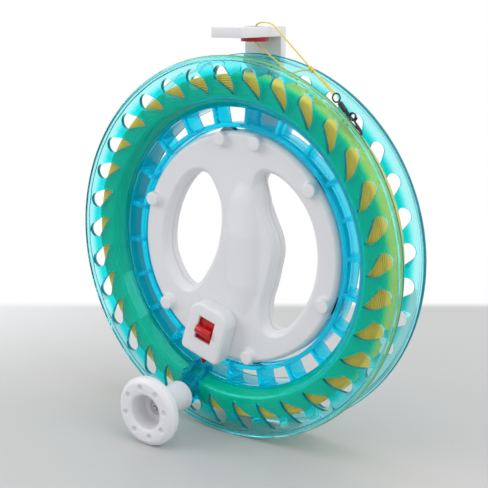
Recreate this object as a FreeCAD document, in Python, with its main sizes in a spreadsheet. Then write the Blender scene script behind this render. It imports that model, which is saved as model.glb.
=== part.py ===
import FreeCAD, Part
import math
import os
import Sketcher

Vector = FreeCAD.Vector
Y_AXIS = Vector(0, 1, 0)
CENTRE = Vector(0, 0, 0)

doc = FreeCAD.newDocument("kite_line_winder")
sheet = doc.addObject("Spreadsheet::Sheet", "Sizes")
parts = []


class Size:
    """A number together with the sheet formula that gives it."""

    def __init__(self, value, formula):
        self.value = float(value)
        self.formula = formula

    def joined(self, other, sign, value):
        return Size(value, "(%s %s %s)" % (self.formula, sign, formula_of(other)))

    def __add__(self, other):
        return self.joined(other, "+", self.value + number(other))

    def __radd__(self, other):
        return sized(other) + self

    def __sub__(self, other):
        return self.joined(other, "-", self.value - number(other))

    def __rsub__(self, other):
        return sized(other) - self

    def __mul__(self, other):
        return self.joined(other, "*", self.value * number(other))

    def __rmul__(self, other):
        return sized(other) * self

    def __truediv__(self, other):
        return self.joined(other, "/", self.value / number(other))

    def __rtruediv__(self, other):
        return sized(other) / self

    def __neg__(self):
        return sized(0) - self


def number(item):
    return item.value if isinstance(item, Size) else float(item)


def formula_of(item):
    return item.formula if isinstance(item, Size) else repr(float(item))


def sized(item):
    return item if isinstance(item, Size) else Size(item, formula_of(item))


def sine(angle):
    return Size(math.sin(math.radians(number(angle))), "sin(%s * 1 deg)" % formula_of(angle))


def cosine(angle):
    return Size(math.cos(math.radians(number(angle))), "cos(%s * 1 deg)" % formula_of(angle))


def arc_cosine(ratio):
    return Size(math.degrees(math.acos(number(ratio))), "(acos(%s) / 1 deg)" % formula_of(ratio))


rows = []


def size(name, value, note):
    """Write one driving size in the sheet and return it."""
    row = len(rows) + 1
    rows.append(name)
    sheet.set("A%d" % row, name)
    sheet.set("B%d" % row, repr(float(value)))
    sheet.set("C%d" % row, note)
    sheet.setAlias("B%d" % row, name)
    return Size(value, "Sizes.%s" % name)


# wheel, in mm and degrees; angles run clockwise from the top, seen from the front
wheel_radius = size("wheel_radius", 130.0, "outside of both flanges")
wheel_width = size("wheel_width", 34.4, "over both flanges")
flange_wall = size("flange_wall", 2.8, "thickness of a flange plate")
bead_width = size("bead_width", 3.8, "radial width of the rim bead")
bead_wall = size("bead_wall", 4.0, "thickness of the rim bead")
bead_chamfer = size("bead_chamfer", 0.9, "corner cut of the rim bead")
shoulder_reach = size("shoulder_reach", 4.5, "slope of a flange beyond the drum")
shoulder_cut = size("shoulder_cut", 3.0, "bevel of the shoulder")
groove_depth = size("groove_depth", 31.5, "rim to drum wall")
drum_wall = size("drum_wall", 2.5, "thickness of the drum wall")
drum_front = size("drum_front", -5.0, "front edge of the drum")
drum_back = size("drum_back", 12.0, "rear edge of the drum")
foot_height = size("foot_height", 2.4, "straight foot of a flange on the drum")
drop_count = size("drop_count", 33, "teardrop holes in a flange")
drop_phase = size("drop_phase", 8.5, "angle of the first teardrop head")
drop_head_inset = size("drop_head_inset", 11.9, "teardrop heads inside the rim")
drop_head_radius = size("drop_head_radius", 5.5, "radius of a teardrop head")
drop_length = size("drop_length", 13.5, "radial step from head to tail")
drop_lean = size("drop_lean", 10.1, "sideways lean of a tail")
rib_reach = size("rib_reach", 15.4, "drum to the floor of the roller track")
track_wall = size("track_wall", 2.4, "wall of the track ring")
lip_height = size("lip_height", 0.7, "height of the lips beside the track")
rib_count = size("rib_count", 22, "ribs between track ring and drum")
rib_phase = size("rib_phase", 4.8, "angle of the first rib")
rib_wall = size("rib_wall", 3.0, "thickness of a rib")

# wound line
line_diameter = size("line_diameter", 1.0, "kite line")
line_below_rim = size("line_below_rim", 12.5, "wound line below the rim")
turn_diameter = size("turn_diameter", 2.0, "bundle that one modelled turn stands for")
turn_count = size("turn_count", 3, "modelled turns of the outer layer")
pack_gap = size("pack_gap", 0.2, "wound line to flange and drum")

# hub and grip
hub_gap = size("hub_gap", 3.1, "hub inside the floor of the roller track")
hub_front = size("hub_front", -6.3, "front face of the hub")
hub_depth = size("hub_depth", 17.3, "thickness of the hub")
hub_bevel = size("hub_bevel", 2.2, "bevel of the outer edges of the hub")
opening_bevel = size("opening_bevel", 3.0, "bevel of the edges of the finger openings")
grip_offset = size("grip_offset", 5.5, "sideways place of the grip bar")
grip_half_width = size("grip_half_width", 19.0, "half width of the grip swell")
grip_depth = size("grip_depth", 27.0, "thickness of the grip swell")
grip_half_length = size("grip_half_length", 50.0, "half length of the grip swell")
boss_radius = size("boss_radius", 5.0, "round boss over a roller axle")
boss_height = size("boss_height", 4.7, "boss above the hub face")
extra_boss_angle = size("extra_boss_angle", 13.0, "angle of the seventh boss")

# rollers
roller_count = size("roller_count", 6, "ball bearing rollers")
roller_phase = size("roller_phase", 51.6, "angle of the first roller")
roller_radius = size("roller_radius", 7.5, "outside of a roller")
roller_width = size("roller_width", 5.0, "width of a roller")
axle_radius = size("axle_radius", 3.0, "roller axle")
running_gap = size("running_gap", 0.3, "between bodies that turn past each other")
bearing_fit = size("bearing_fit", 0.08, "roller bore round its axle")
pocket_gap = size("pocket_gap", 0.6, "round a roller in its pocket")
side_gap = size("side_gap", 0.4, "beside a roller")
seat_gap = size("seat_gap", 0.05, "end of an axle to the front half")

# lock
lock_overhang = size("lock_overhang", 1.5, "lock housing beyond the hub")
lock_length = size("lock_length", 38.5, "length of the lock housing")
lock_width = size("lock_width", 33.0, "width of the lock housing")
lock_height = size("lock_height", 12.7, "lock housing above the hub face")
lock_wall = size("lock_wall", 2.4, "wall of the lock housing")
lock_top_round = size("lock_top_round", 10.0, "round of the inner corners")
lock_low_round = size("lock_low_round", 4.0, "round of the outer corners")
lock_bevel = size("lock_bevel", 1.4, "bevel of the front edges of the housing")
window_margin = size("window_margin", 12.2, "window to the outer end of the housing")
window_length = size("window_length", 17.3, "length of the window")
window_width = size("window_width", 13.5, "width of the window")
slider_travel = size("slider_travel", 4.2, "travel of the lock slider")
slider_wall = size("slider_wall", 2.6, "thickness of the slider plate")
slider_width = size("slider_width", 17.0, "width of the slider plate")
slider_lap = size("slider_lap", 4.2, "slider beyond the window at rest")
slider_length = size("slider_length", 26.0, "length of the slider plate")
ridge_length = size("ridge_length", 6.5, "thumb ridge along the slider")
ridge_height = size("ridge_height", 3.2, "thumb ridge above the housing face")
pin_radius = size("pin_radius", 2.3, "lock pin")
pin_clear = size("pin_clear", 1.0, "tip of the lock pin at rest to the bracket")
pin_block = size("pin_block", 7.0, "block that carries the pin, along the slider")
pin_height = size("pin_height", 2.7, "axis of the pin above the hub face")
slide_gap = size("slide_gap", 0.3, "round the slider")
spring_wall = size("spring_wall", 0.5, "leaf of the detent spring")
spring_width = size("spring_width", 6.0, "width of the detent spring")
spring_length = size("spring_length", 8.0, "length of the detent spring")

# knob and its bracket
knob_inset = size("knob_inset", 19.0, "knob axis inside the rim")
knob_disc_radius = size("knob_disc_radius", 24.0, "end disc of the knob")
knob_stem_radius = size("knob_stem_radius", 10.8, "stem of the knob")
knob_waist_radius = size("knob_waist_radius", 9.6, "waist of the knob")
knob_length = size("knob_length", 39.5, "length of the knob")
knob_waist_place = size("knob_waist_place", 14.0, "waist of the knob from its inner end")
knob_disc_wall = size("knob_disc_wall", 6.0, "thickness of the end disc")
recess_radius = size("recess_radius", 12.0, "recess in the end face")
recess_depth = size("recess_depth", 15.0, "depth of the recess")
dimple_count = size("dimple_count", 8, "blind holes round the recess")
dimple_radius = size("dimple_radius", 1.9, "blind hole")
dimple_orbit = size("dimple_orbit", 17.4, "radius on which the blind holes lie")
dimple_depth = size("dimple_depth", 6.0, "depth of a blind hole")
knob_gap = size("knob_gap", 1.0, "knob to its bracket")
spindle_radius = size("spindle_radius", 3.0, "knob spindle")
spindle_fit = size("spindle_fit", 0.08, "knob bore round its spindle")
spindle_head_radius = size("spindle_head_radius", 6.0, "head that keeps the knob on")
spindle_head_wall = size("spindle_head_wall", 2.0, "head that keeps the knob on")
bracket_height = size("bracket_height", 8.8, "knob boss above the flange")
bracket_boss_radius = size("bracket_boss_radius", 9.0, "knob boss")
bracket_lap = size("bracket_lap", 7.5, "fork walls inside the drum")
bracket_shoulder = size("bracket_shoulder", 8.0, "start of the fork walls' slope from the knob axis")
bracket_tail = size("bracket_tail", 4.0, "fork walls beyond the knob axis")
bracket_floor = size("bracket_floor", 2.5, "floor between the fork walls")
bracket_wall = size("bracket_wall", 2.6, "wall of the fork")
bracket_throat = size("bracket_throat", 7.2, "clear width between the fork walls")
bracket_reach = size("bracket_reach", 8.0, "inner end of the fork in front of the drum")

# line guide
arm_left = size("arm_left", -11.0, "left edge of the guide arm")
arm_right = size("arm_right", 18.0, "right edge of the guide arm")
arm_nose_left = size("arm_nose_left", -6.0, "left edge of the front end")
arm_wall = size("arm_wall", 6.0, "thickness of the arm behind the wheel")
arm_gap = size("arm_gap", 2.8, "arm behind the rear flange")
arm_lap = size("arm_lap", 26.0, "arm below the edge of the hub")
arm_foot_height = size("arm_foot_height", 22.0, "height of the foot on the hub")
arm_foot_inset = size("arm_foot_inset", 3.0, "foot inside the edges of the arm")
plate_wall = size("plate_wall", 6.5, "thickness of the guide plate")
plate_gap = size("plate_gap", 11.0, "guide plate above the wheel")
plate_round = size("plate_round", 3.0, "corner round of the guide plate")
eyelet_x = size("eyelet_x", 6.0, "place of the eyelet")
eyelet_y = size("eyelet_y", 7.0, "place of the eyelet")
eyelet_bore = size("eyelet_bore", 6.0, "radius of the eyelet bore")
eyelet_barrel = size("eyelet_barrel", 7.4, "radius of the eyelet in the plate")
eyelet_flange = size("eyelet_flange", 9.2, "radius of the eyelet below the plate")
eyelet_depth = size("eyelet_depth", 3.0, "eyelet below the plate")

# line end: swivel and snap hook
ring_x = size("ring_x", 71.0, "place of the swivel ring")
ring_y = size("ring_y", 2.0, "place of the swivel ring")
ring_z = size("ring_z", 105.0, "place of the swivel ring")
end_slope = size("end_slope", 49.5, "slope of the swivel and snap hook")
ring_radius = size("ring_radius", 2.7, "swivel ring, to the middle of its wire")
wire_radius = size("wire_radius", 0.55, "wire of the ring and the snap hook")
barrel_radius = size("barrel_radius", 1.7, "swivel barrel")
barrel_length = size("barrel_length", 6.5, "swivel barrel")
stem_radius = size("stem_radius", 0.6, "stem of the swivel ring")
stem_fit = size("stem_fit", 0.08, "barrel bore round the stem")
snap_length = size("snap_length", 19.0, "snap hook")
snap_width = size("snap_width", 5.4, "snap hook, between wire middles")
knot_radius = size("knot_radius", 1.7, "knot")
knot_length = size("knot_length", 3.6, "knot along the line")
knot_distance = size("knot_distance", 22.5, "middle of the knot from the end of the line")

# share of a flange's slope that its shoulder bevel takes
BEVEL_SHARE = 0.3

# corners of an eight-sided teardrop head, as a share of its radius
HALF_DIAGONAL = 0.7071

# belly of a teardrop, as shares of the lean and the length of its tail
BELLY_ACROSS = 0.89
BELLY_DOWN = 0.3

# middle corner of the knob's flare, on a quarter of an ellipse
FLARE_ANGLE = 48

# sides of the section of a thin wire or line, to keep its facets few
WIRE_SIDES = 6

# end of the knot, as a share of its thickness in the middle
KNOT_TAPER = 0.6

doc.recompute()

half_width = wheel_width / 2
drum_radius = wheel_radius - groove_depth
shoulder_radius = drum_radius + shoulder_reach
drop_head_orbit = wheel_radius - drop_head_inset
drop_tail_orbit = drop_head_orbit - drop_length
pack_radius = wheel_radius - line_below_rim
track_radius = drum_radius - rib_reach
hub_radius = track_radius - hub_gap
hub_back = hub_front + hub_depth
roller_plane = hub_front + hub_depth / 2
roller_orbit = track_radius - running_gap - roller_radius
knob_orbit = wheel_radius - knob_inset
knob_angle = 180 + arc_cosine((wheel_radius - knob_disc_radius) / knob_orbit)
bracket_front = -half_width - bracket_height
knob_base = bracket_front - knob_gap
knob_end = knob_base - knob_length
plate_bottom = wheel_radius + plate_gap
plate_top = plate_bottom + plate_wall
arm_front = half_width + arm_gap
arm_back = arm_front + arm_wall
arm_foot = hub_radius - arm_lap
arm_foot_top = arm_foot + arm_foot_height
lock_outer = hub_radius + lock_overhang
lock_inner = lock_outer - lock_length
lock_front = hub_front - lock_height
window_outer = lock_outer - window_margin
window_inner = window_outer - window_length
slider_outer = window_outer + slider_lap
slider_inner = slider_outer - slider_length
bracket_inner = drum_radius - bracket_lap
pin_tip = bracket_inner - pin_clear
pin_y = hub_front - pin_height


def keep(piece, label):
    piece.Label = label
    parts.append(piece)
    return piece


def turned(angle):
    return FreeCAD.Placement(CENTRE, FreeCAD.Rotation(Y_AXIS, number(angle)))


def bind(feature, name, item):
    """Give a property the value of a size and bind it to the sheet."""
    kept = getattr(feature, name)
    setattr(feature, name, int(number(item)) if isinstance(kept, int) else number(item))
    feature.setExpression(name, formula_of(item))


def origin_item(body, role):
    return next(item for item in body.Origin.OriginFeatures if item.Role == role)


def arc_edge(start, end, radius):
    """An arc from start to end that bulges to the right of its chord for a positive radius."""
    chord = end - start
    half = chord.Length / 2
    left = Vector(-chord.y, chord.x, 0).normalize()
    height = math.sqrt(max(radius * radius - half * half, 0))
    centre = (start + end) / 2 + left * math.copysign(height, radius)
    first, last = (start, end) if radius > 0 else (end, start)
    angles = [math.atan2(place.y - centre.y, place.x - centre.x) for place in (first, last)]
    circle = Part.Circle(centre, Vector(0, 0, 1), abs(radius))
    return Part.ArcOfCircle(circle, *angles)


def sketch_of(body, name, role, corners, level=0):
    """A closed outline; a corner is (x, y) or (x, y, radius of the edge that leaves it)."""
    sketch = body.newObject("Sketcher::SketchObject", name)
    sketch.AttachmentSupport = [(origin_item(body, role), "")]
    sketch.MapMode = "FlatFace"
    sketch.AttachmentOffset = FreeCAD.Placement(Vector(0, 0, number(level)), FreeCAD.Rotation())
    if number(level):
        sketch.setExpression("AttachmentOffset.Base.z", formula_of(level))
    places = [Vector(number(corner[0]), number(corner[1]), 0) for corner in corners]
    edges = []
    for index, corner in enumerate(corners):
        start = places[index]
        end = places[(index + 1) % len(places)]
        if len(corner) == 3:
            edges.append(arc_edge(start, end, number(corner[2])))
        else:
            edges.append(Part.LineSegment(start, end))
    sketch.addGeometry(edges, False)
    ends = [edge_ends(edge, start) for edge, start in zip(edges, places)]
    for index, corner in enumerate(corners):
        following = (index + 1) % len(corners)
        sketch.addConstraint(Sketcher.Constraint(
            "Coincident", index, ends[index][1], following, ends[following][0]))
        for kind, item in (("DistanceX", corner[0]), ("DistanceY", corner[1])):
            row = sketch.addConstraint(Sketcher.Constraint(
                kind, -1, 1, index, ends[index][0], number(item)))
            if isinstance(item, Size):
                sketch.setExpression("Constraints[%d]" % row, item.formula)
        if len(corner) == 3:
            row = sketch.addConstraint(Sketcher.Constraint("Radius", index, abs(number(corner[2]))))
            if isinstance(corner[2], Size):
                bulge = corner[2] if number(corner[2]) > 0 else -corner[2]
                sketch.setExpression("Constraints[%d]" % row, bulge.formula)
    return sketch


def edge_ends(edge, start):
    """Which ends of a sketch edge are its first and last on the way round."""
    forward = (edge.StartPoint - start).Length < 1e-6
    return (1, 2) if forward else (2, 1)


def circle_sketch(body, name, role, x, y, radius, level=0):
    sketch = body.newObject("Sketcher::SketchObject", name)
    sketch.AttachmentSupport = [(origin_item(body, role), "")]
    sketch.MapMode = "FlatFace"
    sketch.AttachmentOffset = FreeCAD.Placement(Vector(0, 0, number(level)), FreeCAD.Rotation())
    if number(level):
        sketch.setExpression("AttachmentOffset.Base.z", formula_of(level))
    centre = Vector(number(x), number(y), 0)
    sketch.addGeometry(Part.Circle(centre, Vector(0, 0, 1), number(radius)), False)
    for kind, item in (("DistanceX", x), ("DistanceY", y)):
        row = sketch.addConstraint(Sketcher.Constraint(kind, -1, 1, 0, 3, number(item)))
        if isinstance(item, Size):
            sketch.setExpression("Constraints[%d]" % row, item.formula)
    row = sketch.addConstraint(Sketcher.Constraint("Radius", 0, number(radius)))
    sketch.setExpression("Constraints[%d]" % row, formula_of(radius))
    return sketch


def revolve(body, sketch):
    feature = body.newObject("PartDesign::Revolution", sketch.Name + "_turned")
    feature.Profile = sketch
    feature.ReferenceAxis = (sketch, ["V_Axis"])
    feature.Angle = 360
    return feature


def pad(body, sketch, length):
    """Pads run towards the front from a sketch on the XZ plane, and up from the XY plane."""
    feature = body.newObject("PartDesign::Pad", sketch.Name + "_pad")
    feature.Profile = sketch
    bind(feature, "Length", length)
    return feature


def pocket(body, sketch, length):
    """Pockets run the same way as pads, into the solid."""
    doc.recompute()
    before = body.Shape.Volume
    feature = body.newObject("PartDesign::Pocket", sketch.Name + "_cut")
    feature.Profile = sketch
    bind(feature, "Length", length)
    feature.Reversed = True
    doc.recompute()
    if body.Shape.Volume > before - 1e-3:
        raise RuntimeError("the cut %s removes nothing" % feature.Name)
    return feature


def round_the_wheel(body, feature, count):
    pattern = body.newObject("PartDesign::PolarPattern", feature.Name + "_copies")
    pattern.Originals = [feature]
    pattern.Axis = (origin_item(body, "Y_Axis"), [""])
    pattern.Angle = 360
    bind(pattern, "Occurrences", count)
    body.Tip = pattern
    return pattern


def bevel(body, width, wanted):
    """Bevel the edges of the body's tip for which wanted(edge) is true."""
    doc.recompute()
    names = []
    for index, edge in enumerate(body.Shape.Edges):
        if wanted(edge):
            names.append("Edge%d" % (index + 1))
    feature = body.newObject("PartDesign::Chamfer", body.Name + "_bevel")
    feature.Base = (body.Tip if body.Tip != feature else feature.BaseFeature, names)
    bind(feature, "Size", width)
    doc.recompute()
    return feature


def new_body(label):
    body = doc.addObject("PartDesign::Body", label)
    return keep(body, label)


def feature_of(label, shape, placement=None):
    piece = doc.addObject("Part::Feature", label)
    piece.Shape = shape
    if placement is not None:
        piece.Placement = placement
    return keep(piece, label)


def bar(radius, front, back, x=0.0, z=0.0):
    """A round bar along Y between two faces."""
    start = Vector(number(x), number(front), number(z))
    return Part.makeCylinder(number(radius), number(back) - number(front), start, Y_AXIS)


def box(x0, x1, y0, y1, z0, z1):
    low = Vector(number(x0), number(y0), number(z0))
    spans = (number(x1) - low.x, number(y1) - low.y, number(z1) - low.z)
    return Part.makeBox(*spans, low)


def at_angle(shape, angle):
    copy = shape.copy()
    copy.rotate(CENTRE, Y_AXIS, number(angle))
    return copy


def is_circle(edge, radius, y):
    curve = edge.Curve
    if not isinstance(curve, Part.Circle):
        return False
    return abs(curve.Radius - number(radius)) < 1e-3 and abs(curve.Center.y - number(y)) < 1e-3


def shoulder_start():
    """Radius at which the outer side of a flange's shoulder meets its flat."""
    return shoulder_radius - flange_wall * 0.7


def add_flange(label, side, drum_edge):
    """A dished plate: foot on the drum, shoulder, flat with teardrop holes, and rim bead."""
    body = new_body(label)
    outer = side * half_width
    inner = outer - side * flange_wall
    foot_top = drum_edge + side * foot_height
    bead_inner = outer - side * bead_wall
    slope_run = shoulder_start() - drum_radius + drum_wall
    slope_rise = outer - foot_top
    profile = [
        (drum_radius - drum_wall, drum_edge),
        (drum_radius, drum_edge),
        (drum_radius, foot_top),
        (shoulder_radius, inner),
        (wheel_radius - bead_width, inner),
        (wheel_radius - bead_width, bead_inner),
        (wheel_radius, bead_inner),
        (wheel_radius, outer - side * bead_chamfer),
        (wheel_radius - bead_chamfer, outer),
        (shoulder_start() + shoulder_cut, outer),
        (shoulder_start() - slope_run * BEVEL_SHARE, outer - slope_rise * BEVEL_SHARE),
        (drum_radius - drum_wall, foot_top),
    ]
    revolve(body, sketch_of(body, label + "_profile", "XY_Plane", profile))
    diagonal = drop_head_radius * HALF_DIAGONAL
    drop = [
        (-diagonal, drop_head_orbit - diagonal),
        (-drop_head_radius, drop_head_orbit),
        (-diagonal, drop_head_orbit + diagonal),
        (sized(0), drop_head_orbit + drop_head_radius),
        (diagonal, drop_head_orbit + diagonal),
        (drop_lean * BELLY_ACROSS, drop_head_orbit - drop_length * BELLY_DOWN),
        (drop_lean, drop_tail_orbit),
    ]
    level = -outer if side > 0 else -inner
    hole = pocket(body, sketch_of(body, label + "_drop", "XZ_Plane", drop, level), flange_wall)
    round_the_wheel(body, hole, drop_count)
    body.Placement = turned(drop_phase)


def add_drum():
    """Track ring, radial ribs and drum wall in one moulding."""
    body = new_body("drum_rib_ring")
    depth = drum_back - drum_front
    track_front = roller_plane - roller_width / 2 - side_gap
    track_back = roller_plane + roller_width / 2 + side_gap
    track = [
        (track_radius - lip_height, drum_front),
        (track_radius + track_wall, drum_front),
        (track_radius + track_wall, drum_back),
        (track_radius - lip_height, drum_back),
        (track_radius - lip_height, track_back),
        (track_radius, track_back),
        (track_radius, track_front),
        (track_radius - lip_height, track_front),
    ]
    revolve(body, sketch_of(body, "track_profile", "XY_Plane", track))
    rib = [
        (-rib_wall / 2, track_radius + track_wall / 2),
        (rib_wall / 2, track_radius + track_wall / 2),
        (rib_wall / 2, drum_radius - drum_wall / 2),
        (-rib_wall / 2, drum_radius - drum_wall / 2),
    ]
    first = pad(body, sketch_of(body, "rib_outline", "XZ_Plane", rib, -drum_back), depth)
    round_the_wheel(body, first, rib_count)
    wall = [
        (drum_radius - drum_wall, drum_front),
        (drum_radius, drum_front),
        (drum_radius, drum_back),
        (drum_radius - drum_wall, drum_back),
    ]
    revolve(body, sketch_of(body, "drum_profile", "XY_Plane", wall))
    body.Placement = turned(rib_phase)


def turn_radius():
    return pack_radius - turn_diameter / 2


def add_line_core():
    """The lower layers of the wound line as one ring between the flanges."""
    body = new_body("line_core")
    front = -half_width + flange_wall + pack_gap
    back = half_width - flange_wall - pack_gap
    core_radius = pack_radius - turn_diameter
    floor = drum_radius + pack_gap
    lean = pack_gap * 2
    profile = [
        (floor, drum_front - foot_height),
        (floor, drum_back + foot_height / 2),
        (shoulder_radius + lean, back),
        (core_radius, back),
        (core_radius, front),
        (shoulder_radius + lean, front),
    ]
    revolve(body, sketch_of(body, "core_profile", "XY_Plane", profile))


def arc_between(start, start_way, end, end_way):
    """Two arcs that leave start along start_way and reach end along end_way."""
    chord = end - start
    ways = start_way + end_way
    a = 2 * (1 - start_way.dot(end_way))
    b = 2 * chord.dot(ways)
    c = -chord.dot(chord)
    reach = (-b + math.sqrt(b * b - 4 * a * c)) / (2 * a)
    first = start + start_way * reach
    last = end - end_way * reach
    joint = (first + last) / 2
    return [tangent_arc(start, start_way, joint), tangent_arc(joint, last - joint, end)]


def tangent_arc(start, way, end):
    tangent = Part.Vertex(start).Point * 0 + way
    tangent.normalize()
    chord = end - start
    across = chord - tangent * chord.dot(tangent)
    if across.Length < 1e-9:
        return Part.LineSegment(start, end).toShape()
    across.normalize()
    radius = chord.dot(chord) / (2 * chord.dot(across))
    centre = start + across * radius
    middle_way = ((start - centre) + (end - centre)).normalize()
    return Part.Arc(start, centre + middle_way * radius, end).toShape()


def winding_point(turns):
    """Point and direction of the outer layer after a number of turns."""
    angle = 2 * math.pi * turns
    radius = number(turn_radius())
    span = number(wheel_width - flange_wall * 2 - pack_gap * 2 - turn_diameter)
    pitch = span / number(turn_count)
    side = Vector(math.sin(angle), 0, math.cos(angle))
    ahead = Vector(math.cos(angle), 0, -math.sin(angle)) * (2 * math.pi * radius)
    place = side * radius + Y_AXIS * (pitch * turns - span / 2)
    return place, (ahead + Y_AXIS * pitch).normalize()


def add_line_turns():
    """Outer layer of turns: one unbroken tube with a square section."""
    edges = []
    quarters = int(number(turn_count) * 4)
    for quarter in range(quarters):
        start, start_way = winding_point(quarter / 4)
        end, end_way = winding_point((quarter + 1) / 4)
        edges.extend(arc_between(start, start_way, end, end_way))
    path = Part.Wire(edges)
    start, way = winding_point(0)
    side = Vector(start.x, 0, start.z).normalize()
    across = way.cross(side).normalize()
    reach = number(turn_diameter) / 2
    corners = [start + side * reach, start + across * reach, start - side * reach, start - across * reach]
    section = Part.makePolygon(corners + [corners[0]])
    shape = Part.Wire(path).makePipeShell([section], True, False)
    tube = feature_of("line_outer_turns", shape)
    print("least gap between turns %.2f mm" % least_turn_gap())
    return tube


def least_turn_gap():
    """Gap between neighbouring turns, measured on points along the tube."""
    steps = 48
    total = int(number(turn_count) * steps)
    places = [winding_point(step / steps)[0] for step in range(total + 1)]
    least = min((places[index + steps] - places[index]).Length for index in range(total + 1 - steps))
    return least - number(turn_diameter)


def wire_section(centre, way, radius):
    """A regular outline across a wire."""
    side = way.cross(Y_AXIS).normalize() * radius
    corners = []
    for step in range(WIRE_SIDES):
        corners.append(centre + FreeCAD.Rotation(way, 360 * step / WIRE_SIDES).multVec(side))
    return Part.makePolygon(corners + [corners[0]])


def tube_along(points, radius, report=None):
    """A thin many-sided tube along straight runs joined by tangent arcs."""
    places = [Vector(*point) for point in points]
    edges = []
    radii = []
    last = places[0]
    for before, corner, after in zip(places, places[1:], places[2:]):
        back = (before - corner)
        ahead = (after - corner)
        turn = math.pi - back.getAngle(ahead)
        cut = 0.45 * min(back.Length, ahead.Length)
        bend = cut / math.tan(turn / 2)
        start = corner + back.normalize() * cut
        end = corner + ahead.normalize() * cut
        inward = (start + end) / 2 - corner
        depth = bend / math.cos(turn / 2) - bend
        middle = corner + inward.normalize() * depth
        edges.append(Part.LineSegment(last, start).toShape())
        edges.append(Part.Arc(start, middle, end).toShape())
        radii.append(bend)
        last = end
    edges.append(Part.LineSegment(last, places[-1]).toShape())
    path = Part.Wire(edges)
    way = (places[1] - places[0]).normalize()
    section = wire_section(places[0], way, number(radius))
    shape = path.makePipeShell([section], True, False)
    if report:
        wanted = Part.Face(section).Area * path.Length
        print("%s: length %.1f mm, radii %s mm, volume %.4f of section times length" % (
            report, path.Length, [round(item, 1) for item in radii], shape.Volume / wanted))
    return shape


def opening_prism(points):
    """A smooth closed opening through the hub: tangent arcs through its points."""
    level = number(hub_front - hub_depth)
    places = [Vector(x, level, z) for x, z in points]
    count = len(places)
    ways = [(places[(index + 1) % count] - places[index - 1]).normalize() for index in range(count)]
    edges = []
    for index in range(count):
        following = (index + 1) % count
        edges.extend(arc_between(places[index], ways[index], places[following], ways[following]))
    face = Part.Face(Part.Wire(edges))
    return face.extrude(Y_AXIS * number(hub_depth * 3))


def finger_openings():
    """Left and right finger openings, in shares of the hub radius."""
    scale = number(hub_radius) / 80.0
    left = [(-31, 50), (-17, 36), (-14.5, 14), (-22, -12), (-40, -33), (-54, -26), (-62, -2), (-52, 32)]
    right = [(24, 54), (46, 42), (60, 18), (61, -12), (48, -40), (29, -54), (22, -42), (28, -16),
             (31, 5), (22, 28), (16, 44)]
    return [opening_prism([(x * scale, z * scale) for x, z in side]) for side in (left, right)]


def grip_swell():
    """The thicker part of the grip bar: a loft through ellipses along its length."""
    sections = []
    reach = number(grip_half_length)
    for share in (-1.0, -0.5, 0.2, 0.7, 1.0):
        fullness = math.cos(share * math.pi / 2) ** 0.5 if abs(share) < 1 else 0.25
        wide = number(grip_half_width) * (0.55 + 0.45 * fullness)
        thick = number(grip_depth) / 2 * (0.45 + 0.55 * fullness)
        centre = Vector(number(grip_offset), number(roller_plane), share * reach)
        major = centre + Vector(wide, 0, 0)
        minor = centre + Vector(0, thick, 0)
        if wide >= thick:
            ring = Part.Ellipse(major, minor, centre)
        else:
            ring = Part.Ellipse(minor, major, centre)
        sections.append(Part.Wire(ring.toShape()))
    return Part.makeLoft(sections, True, True)


def roller_angles():
    step = 360.0 / number(roller_count)
    return [number(roller_phase) + step * index for index in range(int(number(roller_count)))]


def hub_half(front):
    """One half of the hub: bosses in front, roller pockets in both and the axles on the rear."""
    outer = hub_front if front else hub_back
    low = hub_front if front else roller_plane
    high = roller_plane if front else hub_back
    shape = bar(hub_radius, low, high)
    for opening in finger_openings():
        shape = shape.cut(opening)
    rim = [edge for edge in shape.Edges if is_circle(edge, hub_radius, outer)]
    shape = shape.makeChamfer(number(hub_bevel), rim)
    mouths = [edge for edge in shape.Edges if is_mouth(edge, number(outer))]
    shape = shape.makeChamfer(number(opening_bevel), mouths)
    half_space = box(-200, 200, -100 if front else roller_plane, roller_plane if front else 100, -200, 200)
    added = [grip_swell().common(half_space)]
    if front:
        added += [at_angle(boss(), angle) for angle in roller_angles() + [number(extra_boss_angle)]]
    shape = shape.fuse(added)
    pocket_front = roller_plane - roller_width / 2 - side_gap
    pocket_back = roller_plane + roller_width / 2 + side_gap
    hollow = bar(roller_radius + pocket_gap, pocket_front, pocket_back, 0, roller_orbit)
    shape = shape.cut([at_angle(hollow, angle) for angle in roller_angles()])
    if front:
        return shape
    axle = bar(axle_radius, pocket_front + seat_gap, pocket_back + side_gap, 0, roller_orbit)
    return shape.fuse([at_angle(axle, angle) for angle in roller_angles()])


def is_mouth(edge, y):
    """Whether an edge of the hub's face at y belongs to a finger opening."""
    span = edge.BoundBox
    flat = span.YLength < 1e-3 and abs(span.YMin - y) < 1e-3
    return flat and edge.Curve.Center.distanceToPoint(Y_AXIS * y) > 1e-3


def boss():
    """A round boss at twelve o'clock, over a roller axle."""
    return bar(boss_radius, hub_front - boss_height, hub_front + 1, 0, roller_orbit)


def add_hub():
    feature_of("hub_front_shell", hub_half(True))
    feature_of("hub_rear_shell", hub_half(False))


def add_rollers():
    """Six bearing rollers that carry the wheel's track ring."""
    half = roller_width / 2
    for index, angle in enumerate(roller_angles()):
        ring = doc.addObject("Part::Cylinder", "roller_%d_ring" % (index + 1))
        bind(ring, "Radius", roller_radius)
        bind(ring, "Height", roller_width)
        hole = doc.addObject("Part::Cylinder", "roller_%d_hole" % (index + 1))
        bind(hole, "Radius", axle_radius + bearing_fit)
        bind(hole, "Height", roller_width)
        roller = doc.addObject("Part::Cut", "roller_%d" % (index + 1))
        roller.Base = ring
        roller.Tool = hole
        facing = FreeCAD.Rotation(Vector(1, 0, 0), -90)
        seat = FreeCAD.Placement(Vector(0, number(roller_plane - half), number(roller_orbit)), facing)
        roller.Placement = turned(angle).multiply(seat)
        keep(roller, "roller_%d" % (index + 1))


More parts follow.
